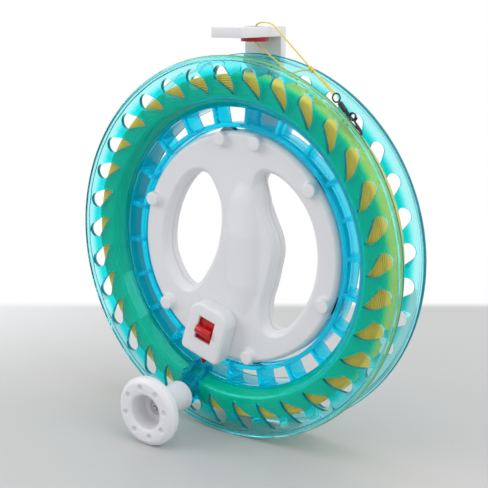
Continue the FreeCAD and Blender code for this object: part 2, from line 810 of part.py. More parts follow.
def add_lock_housing():
    """Cover of the lock: hollow towards the hub, with a window and a hole for the pin."""
    body = new_body("lock_housing")
    half = lock_width / 2
    outline = [
        (-half + lock_low_round, lock_outer),
        (-half, lock_outer - lock_low_round),
        (-half, lock_inner + lock_top_round),
        (-half + lock_top_round, lock_inner),
        (half - lock_top_round, lock_inner),
        (half, lock_inner + lock_top_round),
        (half, lock_outer - lock_low_round),
        (half - lock_low_round, lock_outer),
    ]
    outline = [
        outline[0] + (lock_low_round,), outline[1], outline[2] + (lock_top_round,), outline[3],
        outline[4] + (lock_top_round,), outline[5], outline[6] + (lock_low_round,), outline[7],
    ]
    pad(body, sketch_of(body, "lock_outline", "XZ_Plane", outline, -hub_front), lock_height)
    bevel(body, lock_bevel, lambda edge: edge.BoundBox.YMax < number(lock_front) + 1e-3)
    cavity = slider_width / 2 + slide_gap
    inner = slider_inner - slide_gap
    outer = slider_outer + slider_travel + slide_gap
    hollow = [(-cavity, inner), (cavity, inner), (cavity, outer), (-cavity, outer)]
    pocket(body, sketch_of(body, "lock_cavity", "XZ_Plane", hollow, -hub_front), lock_height - lock_wall)
    side = window_width / 2
    window = [(-side, window_inner), (side, window_inner), (side, window_outer), (-side, window_outer)]
    pocket(body, sketch_of(body, "lock_window", "XZ_Plane", window, -hub_front), lock_height)
    hole = circle_sketch(body, "pin_hole", "XY_Plane", sized(0), pin_y, pin_radius + slide_gap, window_outer)
    pocket(body, hole, lock_outer - window_outer + 1)
    body.Placement = turned(knob_angle)


def slider_front():
    return lock_front + lock_wall + slide_gap


def add_lock_slider():
    """Slider plate behind the window, with its thumb ridge and the lock pin."""
    half = slider_width / 2
    plate_back = slider_front() + slider_wall
    plate = box(-half, half, slider_front(), plate_back, slider_inner, slider_outer)
    ridge_half = window_width / 2 - slide_gap * 2
    ridge_outer = window_outer - slide_gap - slider_travel
    ridge_top = lock_front - ridge_height
    ridge = box(-ridge_half, ridge_half, ridge_top, slider_front() + 0.1, ridge_outer - ridge_length, ridge_outer)
    crown = [edge for edge in ridge.Edges if edge.BoundBox.YMax < number(ridge_top) + 1e-3]
    ridge = ridge.makeFillet(1.2, crown)
    block_start = slider_outer - pin_block
    block = box(-pin_radius, pin_radius, slider_front() + slider_wall / 2, pin_y + pin_radius,
                block_start, slider_outer)
    start = Vector(0, number(pin_y), number(slider_outer - pin_block / 2))
    nose = number(pin_radius) * 1.4
    shank = Part.makeCylinder(number(pin_radius), number(pin_tip) - start.z - nose, start, Vector(0, 0, 1))
    cone_start = Vector(0, number(pin_y), number(pin_tip) - nose)
    cone = Part.makeCone(number(pin_radius), number(pin_radius) * 0.45, nose, cone_start, Vector(0, 0, 1))
    shape = plate.fuse([ridge, block, shank, cone]).removeSplitter()
    feature_of("lock_slider", shape, turned(knob_angle))


def add_lock_spring():
    """A bent leaf under the slider that holds it at either end of its travel."""
    half = number(spring_width) / 2
    back = number(hub_front) - 0.05
    top = number(slider_front() + slider_wall + slide_gap)
    wall = number(spring_wall)
    start = number(slider_inner) + wall * 2
    crest = start + number(spring_length)
    half_rise = number(spring_length) / 2
    points = [Vector(0, back, start), Vector(0, back, crest - half_rise), Vector(0, top + wall, crest),
              Vector(0, back, crest + half_rise)]
    inner = [point - Vector(0, wall, 0) for point in reversed(points)]
    outline = Part.makePolygon(points + inner + [points[0]])
    leaf = Part.Face(outline).extrude(Vector(half * 2, 0, 0))
    leaf.translate(Vector(-half, 0, 0))
    feature_of("lock_spring", leaf, turned(knob_angle))


def flange_envelope():
    """The front flange without its holes, as far as the bracket has to clear it."""
    points = [
        (drum_radius - drum_wall, drum_front),
        (drum_radius - drum_wall, drum_front - foot_height),
        (shoulder_start(), -half_width),
        (wheel_radius, -half_width),
        (wheel_radius, drum_front),
    ]
    corners = [Vector(number(r), number(y), 0) for r, y in points]
    face = Part.Face(Part.makePolygon(corners + [corners[0]]))
    return face.revolve(CENTRE, Y_AXIS, 360)


def add_bracket():
    """The forked bracket that carries the knob and takes the lock pin between its walls."""
    half = number(bracket_throat) / 2
    wall = number(bracket_wall)
    inner = number(bracket_inner)
    orbit = number(knob_orbit)
    front = number(bracket_front)
    reach = number(drum_front) - number(bracket_reach)
    shoulder = orbit - number(bracket_shoulder)
    tail = orbit + number(bracket_tail)
    side = [(inner, number(drum_front)), (inner, reach), (shoulder, front), (tail, front),
            (tail, -number(half_width)), (number(drum_radius), number(drum_front))]
    shape = bar(bracket_boss_radius, bracket_front, -half_width, 0, knob_orbit)
    for sign in (-1, 1):
        near = sign * half
        corners = [Vector(near, y, z) for z, y in side]
        face = Part.Face(Part.makePolygon(corners + [corners[0]]))
        shape = shape.fuse(face.extrude(Vector(sign * wall, 0, 0)))
    floor_front = -half_width - bracket_floor
    floor_inner = knob_orbit - bracket_shoulder - bracket_tail
    floor = box(-half, half, floor_front, drum_front, floor_inner, knob_orbit - bracket_tail)
    shape = shape.fuse(floor)
    shape = shape.cut(flange_envelope())
    shape = shape.cut(bar(spindle_radius, bracket_front - 1, -half_width + 1, 0, knob_orbit))
    feature_of("knob_bracket", shape.removeSplitter(), turned(knob_angle))


def recess_floor():
    return knob_end + recess_depth


def add_knob():
    """The turned knob: waisted stem, flared end disc, recess and blind holes."""
    body = new_body("knob_grip")
    waist = knob_base - knob_waist_place
    disc_back = knob_end + knob_disc_wall
    bore = spindle_radius + spindle_fit
    flare_out = (knob_disc_radius - knob_waist_radius) * (1 - cosine(FLARE_ANGLE))
    flare_along = (waist - disc_back) * sine(FLARE_ANGLE)
    profile = [
        (bore, knob_base),
        (knob_stem_radius, knob_base),
        (knob_waist_radius, waist),
        (knob_waist_radius + flare_out, waist - flare_along),
        (knob_disc_radius, disc_back),
        (knob_disc_radius, knob_end),
        (recess_radius, knob_end),
        (recess_radius, recess_floor()),
        (bore, recess_floor()),
    ]
    revolve(body, sketch_of(body, "knob_profile", "XY_Plane", profile))
    hole = circle_sketch(body, "dimple", "XZ_Plane", sized(0), dimple_orbit, dimple_radius,
                         -knob_end - dimple_depth)
    dimple = pocket(body, hole, dimple_depth)
    round_the_wheel(body, dimple, dimple_count)
    body.Placement = turned(knob_angle).multiply(
        FreeCAD.Placement(Vector(0, 0, number(knob_orbit)), FreeCAD.Rotation()))


def add_knob_spindle():
    """Steel spindle pressed in the bracket, with the head that keeps the knob on."""
    front = recess_floor() - spindle_fit
    spindle = bar(spindle_radius, front, -half_width, 0, knob_orbit)
    head = bar(spindle_head_radius, front - spindle_head_wall, front, 0, knob_orbit)
    feature_of("knob_spindle", spindle.fuse(head).removeSplitter(), turned(knob_angle))


def add_guide_arm():
    """The guide: foot on the hub, arm up behind the wheel, and the plate over its rim."""
    arm = box(arm_left, arm_right, arm_front, arm_back, arm_foot, plate_top)
    foot = box(arm_left + arm_foot_inset, arm_right - arm_foot_inset, hub_back, arm_front,
               arm_foot, arm_foot_top)
    corners = [
        (arm_left, arm_back), (arm_right, arm_back), (arm_right, -arm_back), (arm_nose_left, -arm_back),
    ]
    corners = [Vector(number(x), number(y), number(plate_bottom)) for x, y in corners]
    plate = Part.Face(Part.makePolygon(corners + [corners[0]])).extrude(Vector(0, 0, number(plate_wall)))
    shape = arm.fuse([foot, plate]).removeSplitter()
    upright = [edge for edge in shape.Edges if is_plate_corner(edge)]
    shape = shape.makeFillet(number(plate_round), upright)
    low = [edge for edge in shape.Edges if is_arm_low_corner(edge)]
    shape = shape.makeFillet(number(plate_round) * 2, low)
    bore = Part.makeCylinder(number(eyelet_barrel), number(plate_wall) + 2,
                             Vector(number(eyelet_x), number(eyelet_y), number(plate_bottom) - 1))
    shape = shape.cut(bore)
    feature_of("guide_arm", shape)


def is_plate_corner(edge):
    span = edge.BoundBox
    upright = span.XLength < 1e-3 and span.YLength < 1e-3
    return upright and abs(span.ZMin - number(plate_bottom)) < 1e-3 and span.YMin < 0


def is_arm_low_corner(edge):
    span = edge.BoundBox
    along = span.XLength < 1e-3 and span.ZLength < 1e-3
    return along and abs(span.ZMin - number(arm_foot)) < 1e-3 and span.YMin > number(arm_front) - 1e-3


def add_eyelet():
    """A flared eyelet in the guide plate."""
    body = new_body("guide_eyelet")
    low = plate_bottom - eyelet_depth
    profile = [
        (eyelet_bore, low),
        (eyelet_flange, low),
        (eyelet_flange, plate_bottom),
        (eyelet_barrel, plate_bottom),
        (eyelet_barrel, plate_top),
        (eyelet_bore, plate_top),
    ]
    revolve(body, sketch_of(body, "eyelet_profile", "XY_Plane", profile))
    upright = FreeCAD.Rotation(Vector(1, 0, 0), 90)
    body.Placement = FreeCAD.Placement(Vector(number(eyelet_x), number(eyelet_y), 0), upright)


# route of the free line from the pack through the eyelet to the swivel ring, in mm
FREE_LINE = [
    (64.6, 1.5, 99.6),
    (3.2, 7.0, 139.6),
    (7.2, 7.0, 150.6),
    (19.6, 6.6, 149.8),
    (69.0, 2.0, 106.9),
]

# second strand from the ring back to the knot, and the loose end beyond it
LINE_TAIL = [
    (69.6, 3.4, 107.4),
    (53.6, 4.4, 121.0),
    (45.6, 4.8, 121.4),
    (37.5, 3.4, 118.9),
]


def add_free_line():
    radius = line_diameter / 2
    feature_of("free_line", tube_along(FREE_LINE, radius, "free_line"))
    feature_of("line_tail", tube_along(LINE_TAIL, radius, "line_tail"))
    way = (Vector(*FREE_LINE[-2]) - Vector(*FREE_LINE[-1])).normalize()
    middle = Vector(*FREE_LINE[-1]) + way * number(knot_distance)
    half = number(knot_length) / 2
    rings = []
    for reach, share in ((-half, KNOT_TAPER), (0, 1), (half, KNOT_TAPER)):
        rings.append(wire_section(middle + way * reach, way, number(knot_radius) * share))
    feature_of("line_knot", Part.makeLoft(rings, True, True))


def end_placement():
    """Frame of the swivel: its Z axis runs from the ring towards the snap hook."""
    slope = math.radians(number(end_slope))
    way = Vector(math.cos(slope), 0, -math.sin(slope))
    facing = FreeCAD.Rotation(Vector(0, 0, 1), way)
    return FreeCAD.Placement(Vector(number(ring_x), number(ring_y), number(ring_z)), facing)


def add_line_end():
    """Swivel ring, barrel and snap hook at the end of the line."""
    place = end_placement()
    up = Vector(0, 0, 1)
    ring = wire_ring(number(ring_radius), number(wire_radius))
    stem_start = number(ring_radius)
    barrel_start = stem_start + 1.2
    stem_end = barrel_start + number(barrel_length) * 0.5
    stem = Part.makeCylinder(number(stem_radius), stem_end - stem_start, up * stem_start, up)
    feature_of("swivel_ring", ring.fuse(stem), place)
    barrel = Part.makeCylinder(number(barrel_radius), number(barrel_length), up * barrel_start, up)
    bore = Part.makeCylinder(number(stem_radius + stem_fit), stem_end - barrel_start + 1.5,
                             up * (barrel_start - 1), up)
    feature_of("swivel_barrel", barrel.cut(bore), place)
    barrel_end = barrel_start + number(barrel_length)
    feature_of("snap_hook", snap_shape(barrel_end), place)


def wire_ring(radius, wire):
    """A ring of many-sided wire round Y."""
    corners = []
    for step in range(WIRE_SIDES):
        turn = 2 * math.pi * step / WIRE_SIDES
        corners.append(Vector(radius + wire * math.cos(turn), wire * math.sin(turn), 0))
    face = Part.Face(Part.makePolygon(corners + [corners[0]]))
    return face.revolve(CENTRE, Y_AXIS, 360)


def snap_shape(start):
    """A wire snap: stem, long loop and the hook's return leg."""
    reach = number(snap_length)
    half = number(snap_width) / 2
    points = [
        (0, 0, start),
        (0, 0, start + 3.0),
        (0, half, start + 6.0),
        (0, half, start + reach - 3.0),
        (0, 0, start + reach),
        (0, -half, start + reach - 3.0),
        (0, -half, start + 6.0),
        (0, -half * 0.35, start + 3.6),
    ]
    return tube_along(points, wire_radius)


def check_document():
    """Stop before writing if any object failed or any sub-part is not a valid solid."""
    for item in doc.Objects:
        if "Invalid" in item.State or "Error" in item.State:
            raise RuntimeError("%s did not rebuild: %s" % (item.Name, item.State))
    for piece in parts:
        shape = piece.Shape
        if shape.isNull() or not shape.isValid() or not shape.Solids:
            raise RuntimeError("%s is not a valid solid" % piece.Label)


def write_parts():
    os.makedirs("parts", exist_ok=True)
    for piece in parts:
        piece.Shape.exportStep("parts/%s.step" % piece.Label)
        print("%-18s %2d solids %9.0f mm3" % (piece.Label, len(piece.Shape.Solids), piece.Shape.Volume))


add_flange("front_flange", -1, drum_front)
add_flange("rear_flange", 1, drum_back)
add_drum()
add_line_core()
add_line_turns()
add_hub()
add_rollers()
add_lock_housing()
add_lock_slider()
add_lock_spring()
add_bracket()
add_knob()
add_knob_spindle()
add_guide_arm()
add_eyelet()
add_free_line()
add_line_end()
doc.recompute()
check_document()
write_parts()
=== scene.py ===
import logging
import math
from dataclasses import dataclass, field
from enum import Enum
from typing import Callable, Iterable, Sequence

import bmesh
import bpy
from mathutils import Matrix, Vector


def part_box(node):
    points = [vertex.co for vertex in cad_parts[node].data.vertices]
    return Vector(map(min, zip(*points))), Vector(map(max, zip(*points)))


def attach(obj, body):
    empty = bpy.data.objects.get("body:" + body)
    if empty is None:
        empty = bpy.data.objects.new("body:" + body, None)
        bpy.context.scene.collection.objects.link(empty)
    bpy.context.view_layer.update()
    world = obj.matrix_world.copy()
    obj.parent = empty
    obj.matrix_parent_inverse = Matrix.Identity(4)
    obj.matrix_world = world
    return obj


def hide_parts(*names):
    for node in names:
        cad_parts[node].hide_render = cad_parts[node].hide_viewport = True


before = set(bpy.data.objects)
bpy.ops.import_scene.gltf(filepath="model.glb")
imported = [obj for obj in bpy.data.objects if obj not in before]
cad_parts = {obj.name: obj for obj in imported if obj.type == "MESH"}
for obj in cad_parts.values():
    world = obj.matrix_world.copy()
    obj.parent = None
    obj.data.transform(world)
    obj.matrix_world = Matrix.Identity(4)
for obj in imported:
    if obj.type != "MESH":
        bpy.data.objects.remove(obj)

LOG = logging.getLogger("winder")
MM = 0.001
KNOB_ANGLE = 197.26
Point = tuple[float, float]
Place = tuple[float, float, float]
Colour = tuple[float, float, float]


class Slot(str, Enum):
    """Finish slots of the record."""

    CYAN = "clear_cyan"
    LINE = "yellow_line"
    WHITE = "white_plastic"
    RED = "red_plastic"
    STEEL = "steel"
    BEARING = "bearing_steel"
    BLACK = "black_metal"


class Body(str, Enum):
    """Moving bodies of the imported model."""

    HANDLE = "handle"
    WHEEL = "wheel"
    KNOB = "knob"
    LOCK = "lock"
    LINE_END = "line_end"


def log_piece(piece: bpy.types.Object) -> None:
    """Report one finished piece.

    Args:
        piece: The piece that was made.
    """
    LOG.info("%s: %d faces", piece.name, len(getattr(piece.data, "polygons", [])))


class NodeSheet:
    """A small helper that adds and links the nodes of one tree."""

    def __init__(self, tree: bpy.types.NodeTree) -> None:
        """Keep the tree.

        Args:
            tree: The node tree to build in.
        """
        self.tree = tree

    def add(self, kind: str, **values: object) -> bpy.types.Node:
        """Add a node and set its properties or input sockets.

        Args:
            kind: Blender's type name of the node.
            values: Properties, or default values of inputs with spaces written as underscores.

        Returns:
            The new node.
        """
        node = self.tree.nodes.new(kind)
        for name, value in values.items():
            socket = name.replace("_", " ")
            titled = socket.title()
            if hasattr(node, name) and not callable(getattr(node, name)):
                setattr(node, name, value)
            elif socket in node.inputs:
                node.inputs[socket].default_value = value
            else:
                node.inputs[titled].default_value = value
        return node

    def link(self, source: bpy.types.NodeSocket, target: bpy.types.NodeSocket) -> None:
        """Join an output socket to an input socket."""
        self.tree.links.new(source, target)

    def math(self, operation: str, first: object, second: object = 0.0) -> bpy.types.NodeSocket:
        """Add a math node fed by numbers or sockets.

        Args:
            operation: Blender's name of the operation.
            first: First number or socket.
            second: Second number or socket.

        Returns:
            The result socket.
        """
        node = self.tree.nodes.new("ShaderNodeMath")
        node.operation = operation
        for index, item in enumerate((first, second)):
            if isinstance(item, bpy.types.NodeSocket):
                self.tree.links.new(item, node.inputs[index])
            else:
                node.inputs[index].default_value = item
        return node.outputs[0]


def new_group(name: str, kind: str, inputs: Sequence[tuple], outputs: Sequence[tuple]) -> tuple:
    """Make a node group with named sockets.

    Args:
        name: Name of the group.
        kind: Tree type.
        inputs: Pairs of socket name and type, with an optional default.
        outputs: Pairs of socket name and type.

    Returns:
        The tree, its sheet, its input node and its output node.
    """
    tree = bpy.data.node_groups.new(name, kind)
    for way, sockets in (("INPUT", inputs), ("OUTPUT", outputs)):
        for entry in sockets:
            socket = tree.interface.new_socket(entry[0], in_out=way, socket_type=entry[1])
            if len(entry) > 2:
                socket.default_value = entry[2]
    sheet = NodeSheet(tree)
    return tree, sheet, sheet.add("NodeGroupInput"), sheet.add("NodeGroupOutput")


class SurfaceEffects:
    """Shader node groups that more than one finish uses."""

    def __init__(self) -> None:
        """Build the groups once."""
        self.handled = self.handled_surface()
        self.mottle = self.colour_mottle()
        self.zone = self.axis_zone()

    @staticmethod
    def handled_surface() -> bpy.types.NodeTree:
        """Fine unevenness of a handled surface.

        Returns:
            A group with Roughness and Height outputs.
        """
        tree, sheet, inner, outer = new_group(
            "handled_surface", "ShaderNodeTree",
            [("Scale", "NodeSocketFloat", 400.0), ("Roughness", "NodeSocketFloat", 0.3),
             ("Spread", "NodeSocketFloat", 0.08)],
            [("Roughness", "NodeSocketFloat"), ("Height", "NodeSocketFloat")])
        place = sheet.add("ShaderNodeTexCoord")
        broad = sheet.add("ShaderNodeTexNoise", Detail=3.0)
        fine = sheet.add("ShaderNodeTexNoise", Detail=4.0)
        sheet.link(place.outputs["Object"], broad.inputs["Vector"])
        sheet.link(place.outputs["Object"], fine.inputs["Vector"])
        sheet.link(sheet.math("MULTIPLY", inner.outputs["Scale"], 0.08), broad.inputs["Scale"])
        sheet.link(inner.outputs["Scale"], fine.inputs["Scale"])
        centred = sheet.math("SUBTRACT", broad.outputs["Fac"], 0.5)
        spread = sheet.math("MULTIPLY", centred, inner.outputs["Spread"])
        sheet.link(sheet.math("ADD", spread, inner.outputs["Roughness"]), outer.inputs["Roughness"])
        sheet.link(fine.outputs["Fac"], outer.inputs["Height"])
        return tree

    @staticmethod
    def colour_mottle() -> bpy.types.NodeTree:
        """Slight change of a colour over the surface.

        Returns:
            A group with a Colour output.
        """
        tree, sheet, inner, outer = new_group(
            "colour_mottle", "ShaderNodeTree",
            [("Colour", "NodeSocketColor"), ("Shade", "NodeSocketColor"),
             ("Scale", "NodeSocketFloat", 30.0)],
            [("Colour", "NodeSocketColor")])
        place = sheet.add("ShaderNodeTexCoord")
        noise = sheet.add("ShaderNodeTexNoise", Detail=2.0)
        mix = sheet.add("ShaderNodeMix", data_type="RGBA")
        sheet.link(place.outputs["Object"], noise.inputs["Vector"])
        sheet.link(inner.outputs["Scale"], noise.inputs["Scale"])
        sheet.link(noise.outputs["Fac"], mix.inputs[0])
        sheet.link(inner.outputs["Colour"], mix.inputs[6])
        sheet.link(inner.outputs["Shade"], mix.inputs[7])
        sheet.link(mix.outputs[2], outer.inputs["Colour"])
        return tree

    @staticmethod
    def axis_zone() -> bpy.types.NodeTree:
        """Mask of what lies beyond a distance from the wheel's axis.

        Returns:
            A group with a Mask output.
        """
        tree, sheet, inner, outer = new_group(
            "axis_zone", "ShaderNodeTree",
            [("Start", "NodeSocketFloat", 0.116), ("End", "NodeSocketFloat", 0.118)],
            [("Mask", "NodeSocketFloat")])
        place = sheet.add("ShaderNodeTexCoord")
        flat = sheet.add("ShaderNodeVectorMath", operation="MULTIPLY")
        flat.inputs[1].default_value = (1.0, 0.0, 1.0)
        reach = sheet.add("ShaderNodeVectorMath", operation="LENGTH")
        ramp = sheet.add("ShaderNodeMapRange", interpolation_type="SMOOTHSTEP")
        sheet.link(place.outputs["Object"], flat.inputs[0])
        sheet.link(flat.outputs["Vector"], reach.inputs[0])
        sheet.link(reach.outputs["Value"], ramp.inputs["Value"])
        sheet.link(inner.outputs["Start"], ramp.inputs["From Min"])
        sheet.link(inner.outputs["End"], ramp.inputs["From Max"])
        sheet.link(ramp.outputs["Result"], outer.inputs["Mask"])
        return tree


def start_material(name: str) -> tuple[bpy.types.Material, NodeSheet, bpy.types.Node, bpy.types.Node]:
    """Make a material with a Principled shader linked to its output.

    Args:
        name: Name of the material.

    Returns:
        The material, its sheet, the shader and the output node.
    """
    material = bpy.data.materials.new(name)
    material.use_nodes = True
    material.node_tree.nodes.clear()
    sheet = NodeSheet(material.node_tree)
    shader = sheet.add("ShaderNodeBsdfPrincipled")
    output = sheet.add("ShaderNodeOutputMaterial")
    sheet.link(shader.outputs[0], output.inputs["Surface"])
    return material, sheet, shader, output


def mark_surface(sheet: NodeSheet, shader: bpy.types.Node, handled: bpy.types.Node, strength: float,
                 distance: float) -> None:
    """Give a shader the roughness and fine relief of a handled surface.

    Args:
        sheet: Sheet of the material.
        shader: The Principled shader.
        handled: The surface group.
        strength: Strength of the relief.
        distance: Its height in metres.
    """
    bump = sheet.add("ShaderNodeBump", Strength=strength, Distance=distance)
    sheet.link(handled.outputs["Height"], bump.inputs["Height"])
    sheet.link(handled.outputs["Roughness"], shader.inputs["Roughness"])
    sheet.link(bump.outputs["Normal"], shader.inputs["Normal"])


def use_group(sheet: NodeSheet, group: bpy.types.NodeTree, **values: object) -> bpy.types.Node:
    """Place a shader group in a material.

    Args:
        sheet: Sheet of the material.
        group: The group.
        values: Input values by socket name.

    Returns:
        The group node.
    """
    node = sheet.add("ShaderNodeGroup")
    node.node_tree = group
    for name, value in values.items():
        node.inputs[name].default_value = value
    return node


@dataclass(frozen=True)
class Moulding:
    """An opaque moulded plastic or a metal, with handling marks and a slight colour change."""

    name: str
    colour: Colour
    shade: Colour
    roughness: float = 0.3
    spread: float = 0.08
    scale: float = 400.0
    bump: float = 0.02
    metallic: float = 0.0
    scatter: float = 0.0

    def build(self, effects: SurfaceEffects) -> bpy.types.Material:
        """Make the material.

        Args:
            effects: Shared shader groups.

        Returns:
            The material.
        """
        material, sheet, shader, _ = start_material(self.name)
        mottle = use_group(sheet, effects.mottle, Colour=(*self.colour, 1), Shade=(*self.shade, 1))
        handled = use_group(sheet, effects.handled, Scale=self.scale, Roughness=self.roughness,
                            Spread=self.spread)
        mark_surface(sheet, shader, handled, self.bump, 0.0004)
        sheet.link(mottle.outputs["Colour"], shader.inputs["Base Color"])
        shader.inputs["Metallic"].default_value = self.metallic
        shader.inputs["Subsurface Weight"].default_value = self.scatter
        shader.inputs["Subsurface Radius"].default_value = (0.002, 0.0018, 0.0016)
        return material


@dataclass(frozen=True)
class ClearMoulding:
    """A tinted transparent plastic: deep over the wound line, clear towards its rim."""

    name: str
    deep: Colour
    clear: float
    pale: Colour | None = None
    # Strength of a painted glow in the deep tint.
    painted_glow: float = 0.0
    zone: Point = (0.1168, 0.1235)
    absorbed: Colour = (0.0, 0.90, 0.94)
    density: float = 70.0
    shadow: Colour = (0.50, 0.94, 0.97)
    roughness: float = 0.03

    def plastic(self, sheet: NodeSheet, shader: bpy.types.Node, handled: bpy.types.Node, tint: Colour,
                clear: float, sheen: Colour) -> None:
        """Set one shader to the plastic.

        Args:
            sheet: Sheet of the material.
            shader: The Principled shader.
            handled: The surface group.
            tint: Colour of the plastic.
            clear: Share of the light that passes.
            sheen: Colour of its reflections.
        """
        mark_surface(sheet, shader, handled, 0.03, 0.0006)
        shader.inputs["Base Color"].default_value = (*tint, 1)
        shader.inputs["Specular Tint"].default_value = (*sheen, 1)
        shader.inputs["Transmission Weight"].default_value = clear
        shader.inputs["IOR"].default_value = 1.46

    def build(self, effects: SurfaceEffects) -> bpy.types.Material:
        """Make the material.

        Args:
            effects: Shared shader groups.

        Returns:
            The material.
        """
        material, sheet, shader, output = start_material(self.name)
        handled = use_group(sheet, effects.handled, Scale=160.0, Roughness=self.roughness, Spread=0.03)
        self.plastic(sheet, shader, handled, self.deep, self.clear, (0.30, 1.0, 1.0))
        # Emission in the plastic's own tint: a painted glow that brightens it though it is no lamp.
        shader.inputs["Emission Color"].default_value = (*self.deep, 1)
        shader.inputs["Emission Strength"].default_value = self.painted_glow
        surface = shader
        if self.pale is not None:
            rim = sheet.add("ShaderNodeBsdfPrincipled")
            self.plastic(sheet, rim, handled, self.pale, 1.0, (0.8, 1.0, 1.0))
            zone = use_group(sheet, effects.zone, Start=self.zone[0], End=self.zone[1])
            surface = sheet.add("ShaderNodeMixShader")
            sheet.link(zone.outputs["Mask"], surface.inputs[0])
            sheet.link(shader.outputs[0], surface.inputs[1])
            sheet.link(rim.outputs[0], surface.inputs[2])
        rays = sheet.add("ShaderNodeLightPath")
        passing = sheet.add("ShaderNodeBsdfTransparent", Color=(*self.shadow, 1))
        mix = sheet.add("ShaderNodeMixShader")
        sheet.link(rays.outputs["Is Shadow Ray"], mix.inputs[0])
        sheet.link(surface.outputs[0], mix.inputs[1])
        sheet.link(passing.outputs[0], mix.inputs[2])
        sheet.link(mix.outputs[0], output.inputs["Surface"])
        depth = sheet.add("ShaderNodeVolumeAbsorption", Color=(*self.absorbed, 1), Density=self.density)
        sheet.link(depth.outputs[0], output.inputs["Volume"])
        return material


@dataclass(frozen=True)
class KiteLine:
    """Twisted line: a ply pattern that runs with the strand."""

    name: str
    colour: Colour
    shade: Colour
    ply: float = 1600.0

    def build(self, effects: SurfaceEffects) -> bpy.types.Material:
        """Make the material.

        Args:
            effects: Shared shader groups.

        Returns:
            The material.
        """
        material, sheet, shader, _ = start_material(self.name)
        mottle = use_group(sheet, effects.mottle, Colour=(*self.colour, 1), Shade=(*self.shade, 1),
                           Scale=220.0)
        place = sheet.add("ShaderNodeTexCoord")
        ply = sheet.add("ShaderNodeTexWave", wave_type="BANDS", bands_direction="DIAGONAL",
                        Distortion=1.5, Detail=1.0)
        ply.inputs["Scale"].default_value = self.ply
        bump = sheet.add("ShaderNodeBump", Strength=0.35, Distance=0.0002)
        sheet.link(place.outputs["Object"], ply.inputs["Vector"])
        sheet.link(ply.outputs["Fac"], bump.inputs["Height"])
        sheet.link(bump.outputs["Normal"], shader.inputs["Normal"])
        sheet.link(mottle.outputs["Colour"], shader.inputs["Base Color"])
        shader.inputs["Roughness"].default_value = 0.55
        shader.inputs["Sheen Weight"].default_value = 0.25
        return material


class Palette:
    """All finishes of the winder, by slot."""

    def __init__(self) -> None:
        """Build every material once."""
        effects = SurfaceEffects()
        finishes = {
            Slot.CYAN: ClearMoulding("clear_cyan_plastic", (0.0, 0.85, 0.87), 0.82,
                                     pale=(0.50, 0.98, 1.0)),
            Slot.LINE: KiteLine("yellow_kite_line", (0.92, 0.77, 0.12), (0.82, 0.65, 0.08)),
            Slot.WHITE: Moulding("white_plastic", (0.81, 0.81, 0.835), (0.77, 0.77, 0.80),
                                 roughness=0.34, scatter=0.06),
            Slot.RED: Moulding("red_plastic", (0.58, 0.002, 0.006), (0.48, 0.001, 0.005), roughness=0.22),
            Slot.STEEL: Moulding("bright_steel", (0.62, 0.62, 0.64), (0.5, 0.5, 0.52), metallic=1.0),
            Slot.BEARING: Moulding("bearing_steel", (0.30, 0.31, 0.34), (0.2, 0.2, 0.23), metallic=1.0,
                                   roughness=0.22),
            Slot.BLACK: Moulding("blackened_wire", (0.014, 0.014, 0.016), (0.03, 0.03, 0.03),
                                 roughness=0.32, scale=900.0),
        }
        self.materials = {slot: finish.build(effects) for slot, finish in finishes.items()}
        # The ring, the hole walls and the fork carry a painted glow.
        self.ring = ClearMoulding("clear_cyan_ring", (0.01, 0.74, 0.95), 0.80, painted_glow=0.05).build(effects)
        # Darker, less clear tint for hole walls and rim bead steps: painted shade where the plate is seen
        # edge-on, with a painted glow.
        self.edge = ClearMoulding("clear_cyan_painted_wall_shade", (0.0, 0.46, 0.60), 0.62, painted_glow=0.03).build(effects)
        self.fork = ClearMoulding("clear_cyan_fork", (0.0, 0.50, 0.68), 0.82, painted_glow=0.02).build(effects)
        # A dark line colour for the core under the strands: painted shade in the gaps between turns.
        self.painted_groove_shade = KiteLine("shaded_kite_line", (0.34, 0.25, 0.02), (0.26, 0.19, 0.02)).build(effects)

    def dress(self, piece: bpy.types.Object, slot: Slot) -> None:
        """Give a piece the finish of a slot.

        Args:
            piece: The piece.
            slot: Slot of the finish.
        """
        piece.data.materials.clear()
        piece.data.materials.append(self.materials[slot])

    def install(self, piece: bpy.types.Object, slot: Slot, body: str, *nodes: str) -> None:
        """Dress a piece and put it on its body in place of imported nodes.

        Args:
            piece: The piece.
            slot: Slot of the finish.
            body: Name of the body that it rides on.
            nodes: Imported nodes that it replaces, if any.
        """
        self.dress(piece, slot)
        if nodes:
            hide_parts(*nodes)
        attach(piece, body)
        log_piece(piece)

    @staticmethod
    def add_finish(piece: bpy.types.Object, material: bpy.types.Material, wanted: Callable) -> None:
        """Give some faces of a dressed piece a second finish of its slot.

        Args:
            piece: The dressed piece.
            material: The second finish.
            wanted: Says for a face whether it takes it.
        """
        piece.data.materials.append(material)
        last = len(piece.data.materials) - 1
        for face in piece.data.polygons:
            face.material_index = last if wanted(face) else 0

    def dress_node(self, node: str, slot: Slot) -> None:
        """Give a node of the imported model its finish.

        Args:
            node: Name of the node.
            slot: Slot of the finish.
        """
        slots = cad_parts[node].material_slots
        if not slots:
            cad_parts[node].data.materials.append(self.materials[slot])
        for entry in slots:
            entry.material = self.materials[slot]


def polar(radius: float, angle: float, y: float = 0.0) -> Vector:
    """Place on the wheel, in metres.

    Args:
        radius: Distance from the axis in mm.
        angle: Degrees clockwise from the top, seen from the front.
        y: Place along the axis in mm.

    Returns:
        The place.
    """
    turn = math.radians(angle)
    return Vector((radius * math.sin(turn), y, radius * math.cos(turn))) * MM


def directions(angle: float) -> tuple[Vector, Vector]:
    """Directions at an angle on the wheel.

    Args:
        angle: Degrees clockwise from the top, seen from the front.

    Returns:
        The way outwards and the way across it, clockwise.
    """
    turn = math.radians(angle)
    return (Vector((math.sin(turn), 0.0, math.cos(turn))),
            Vector((math.cos(turn), 0.0, -math.sin(turn))))


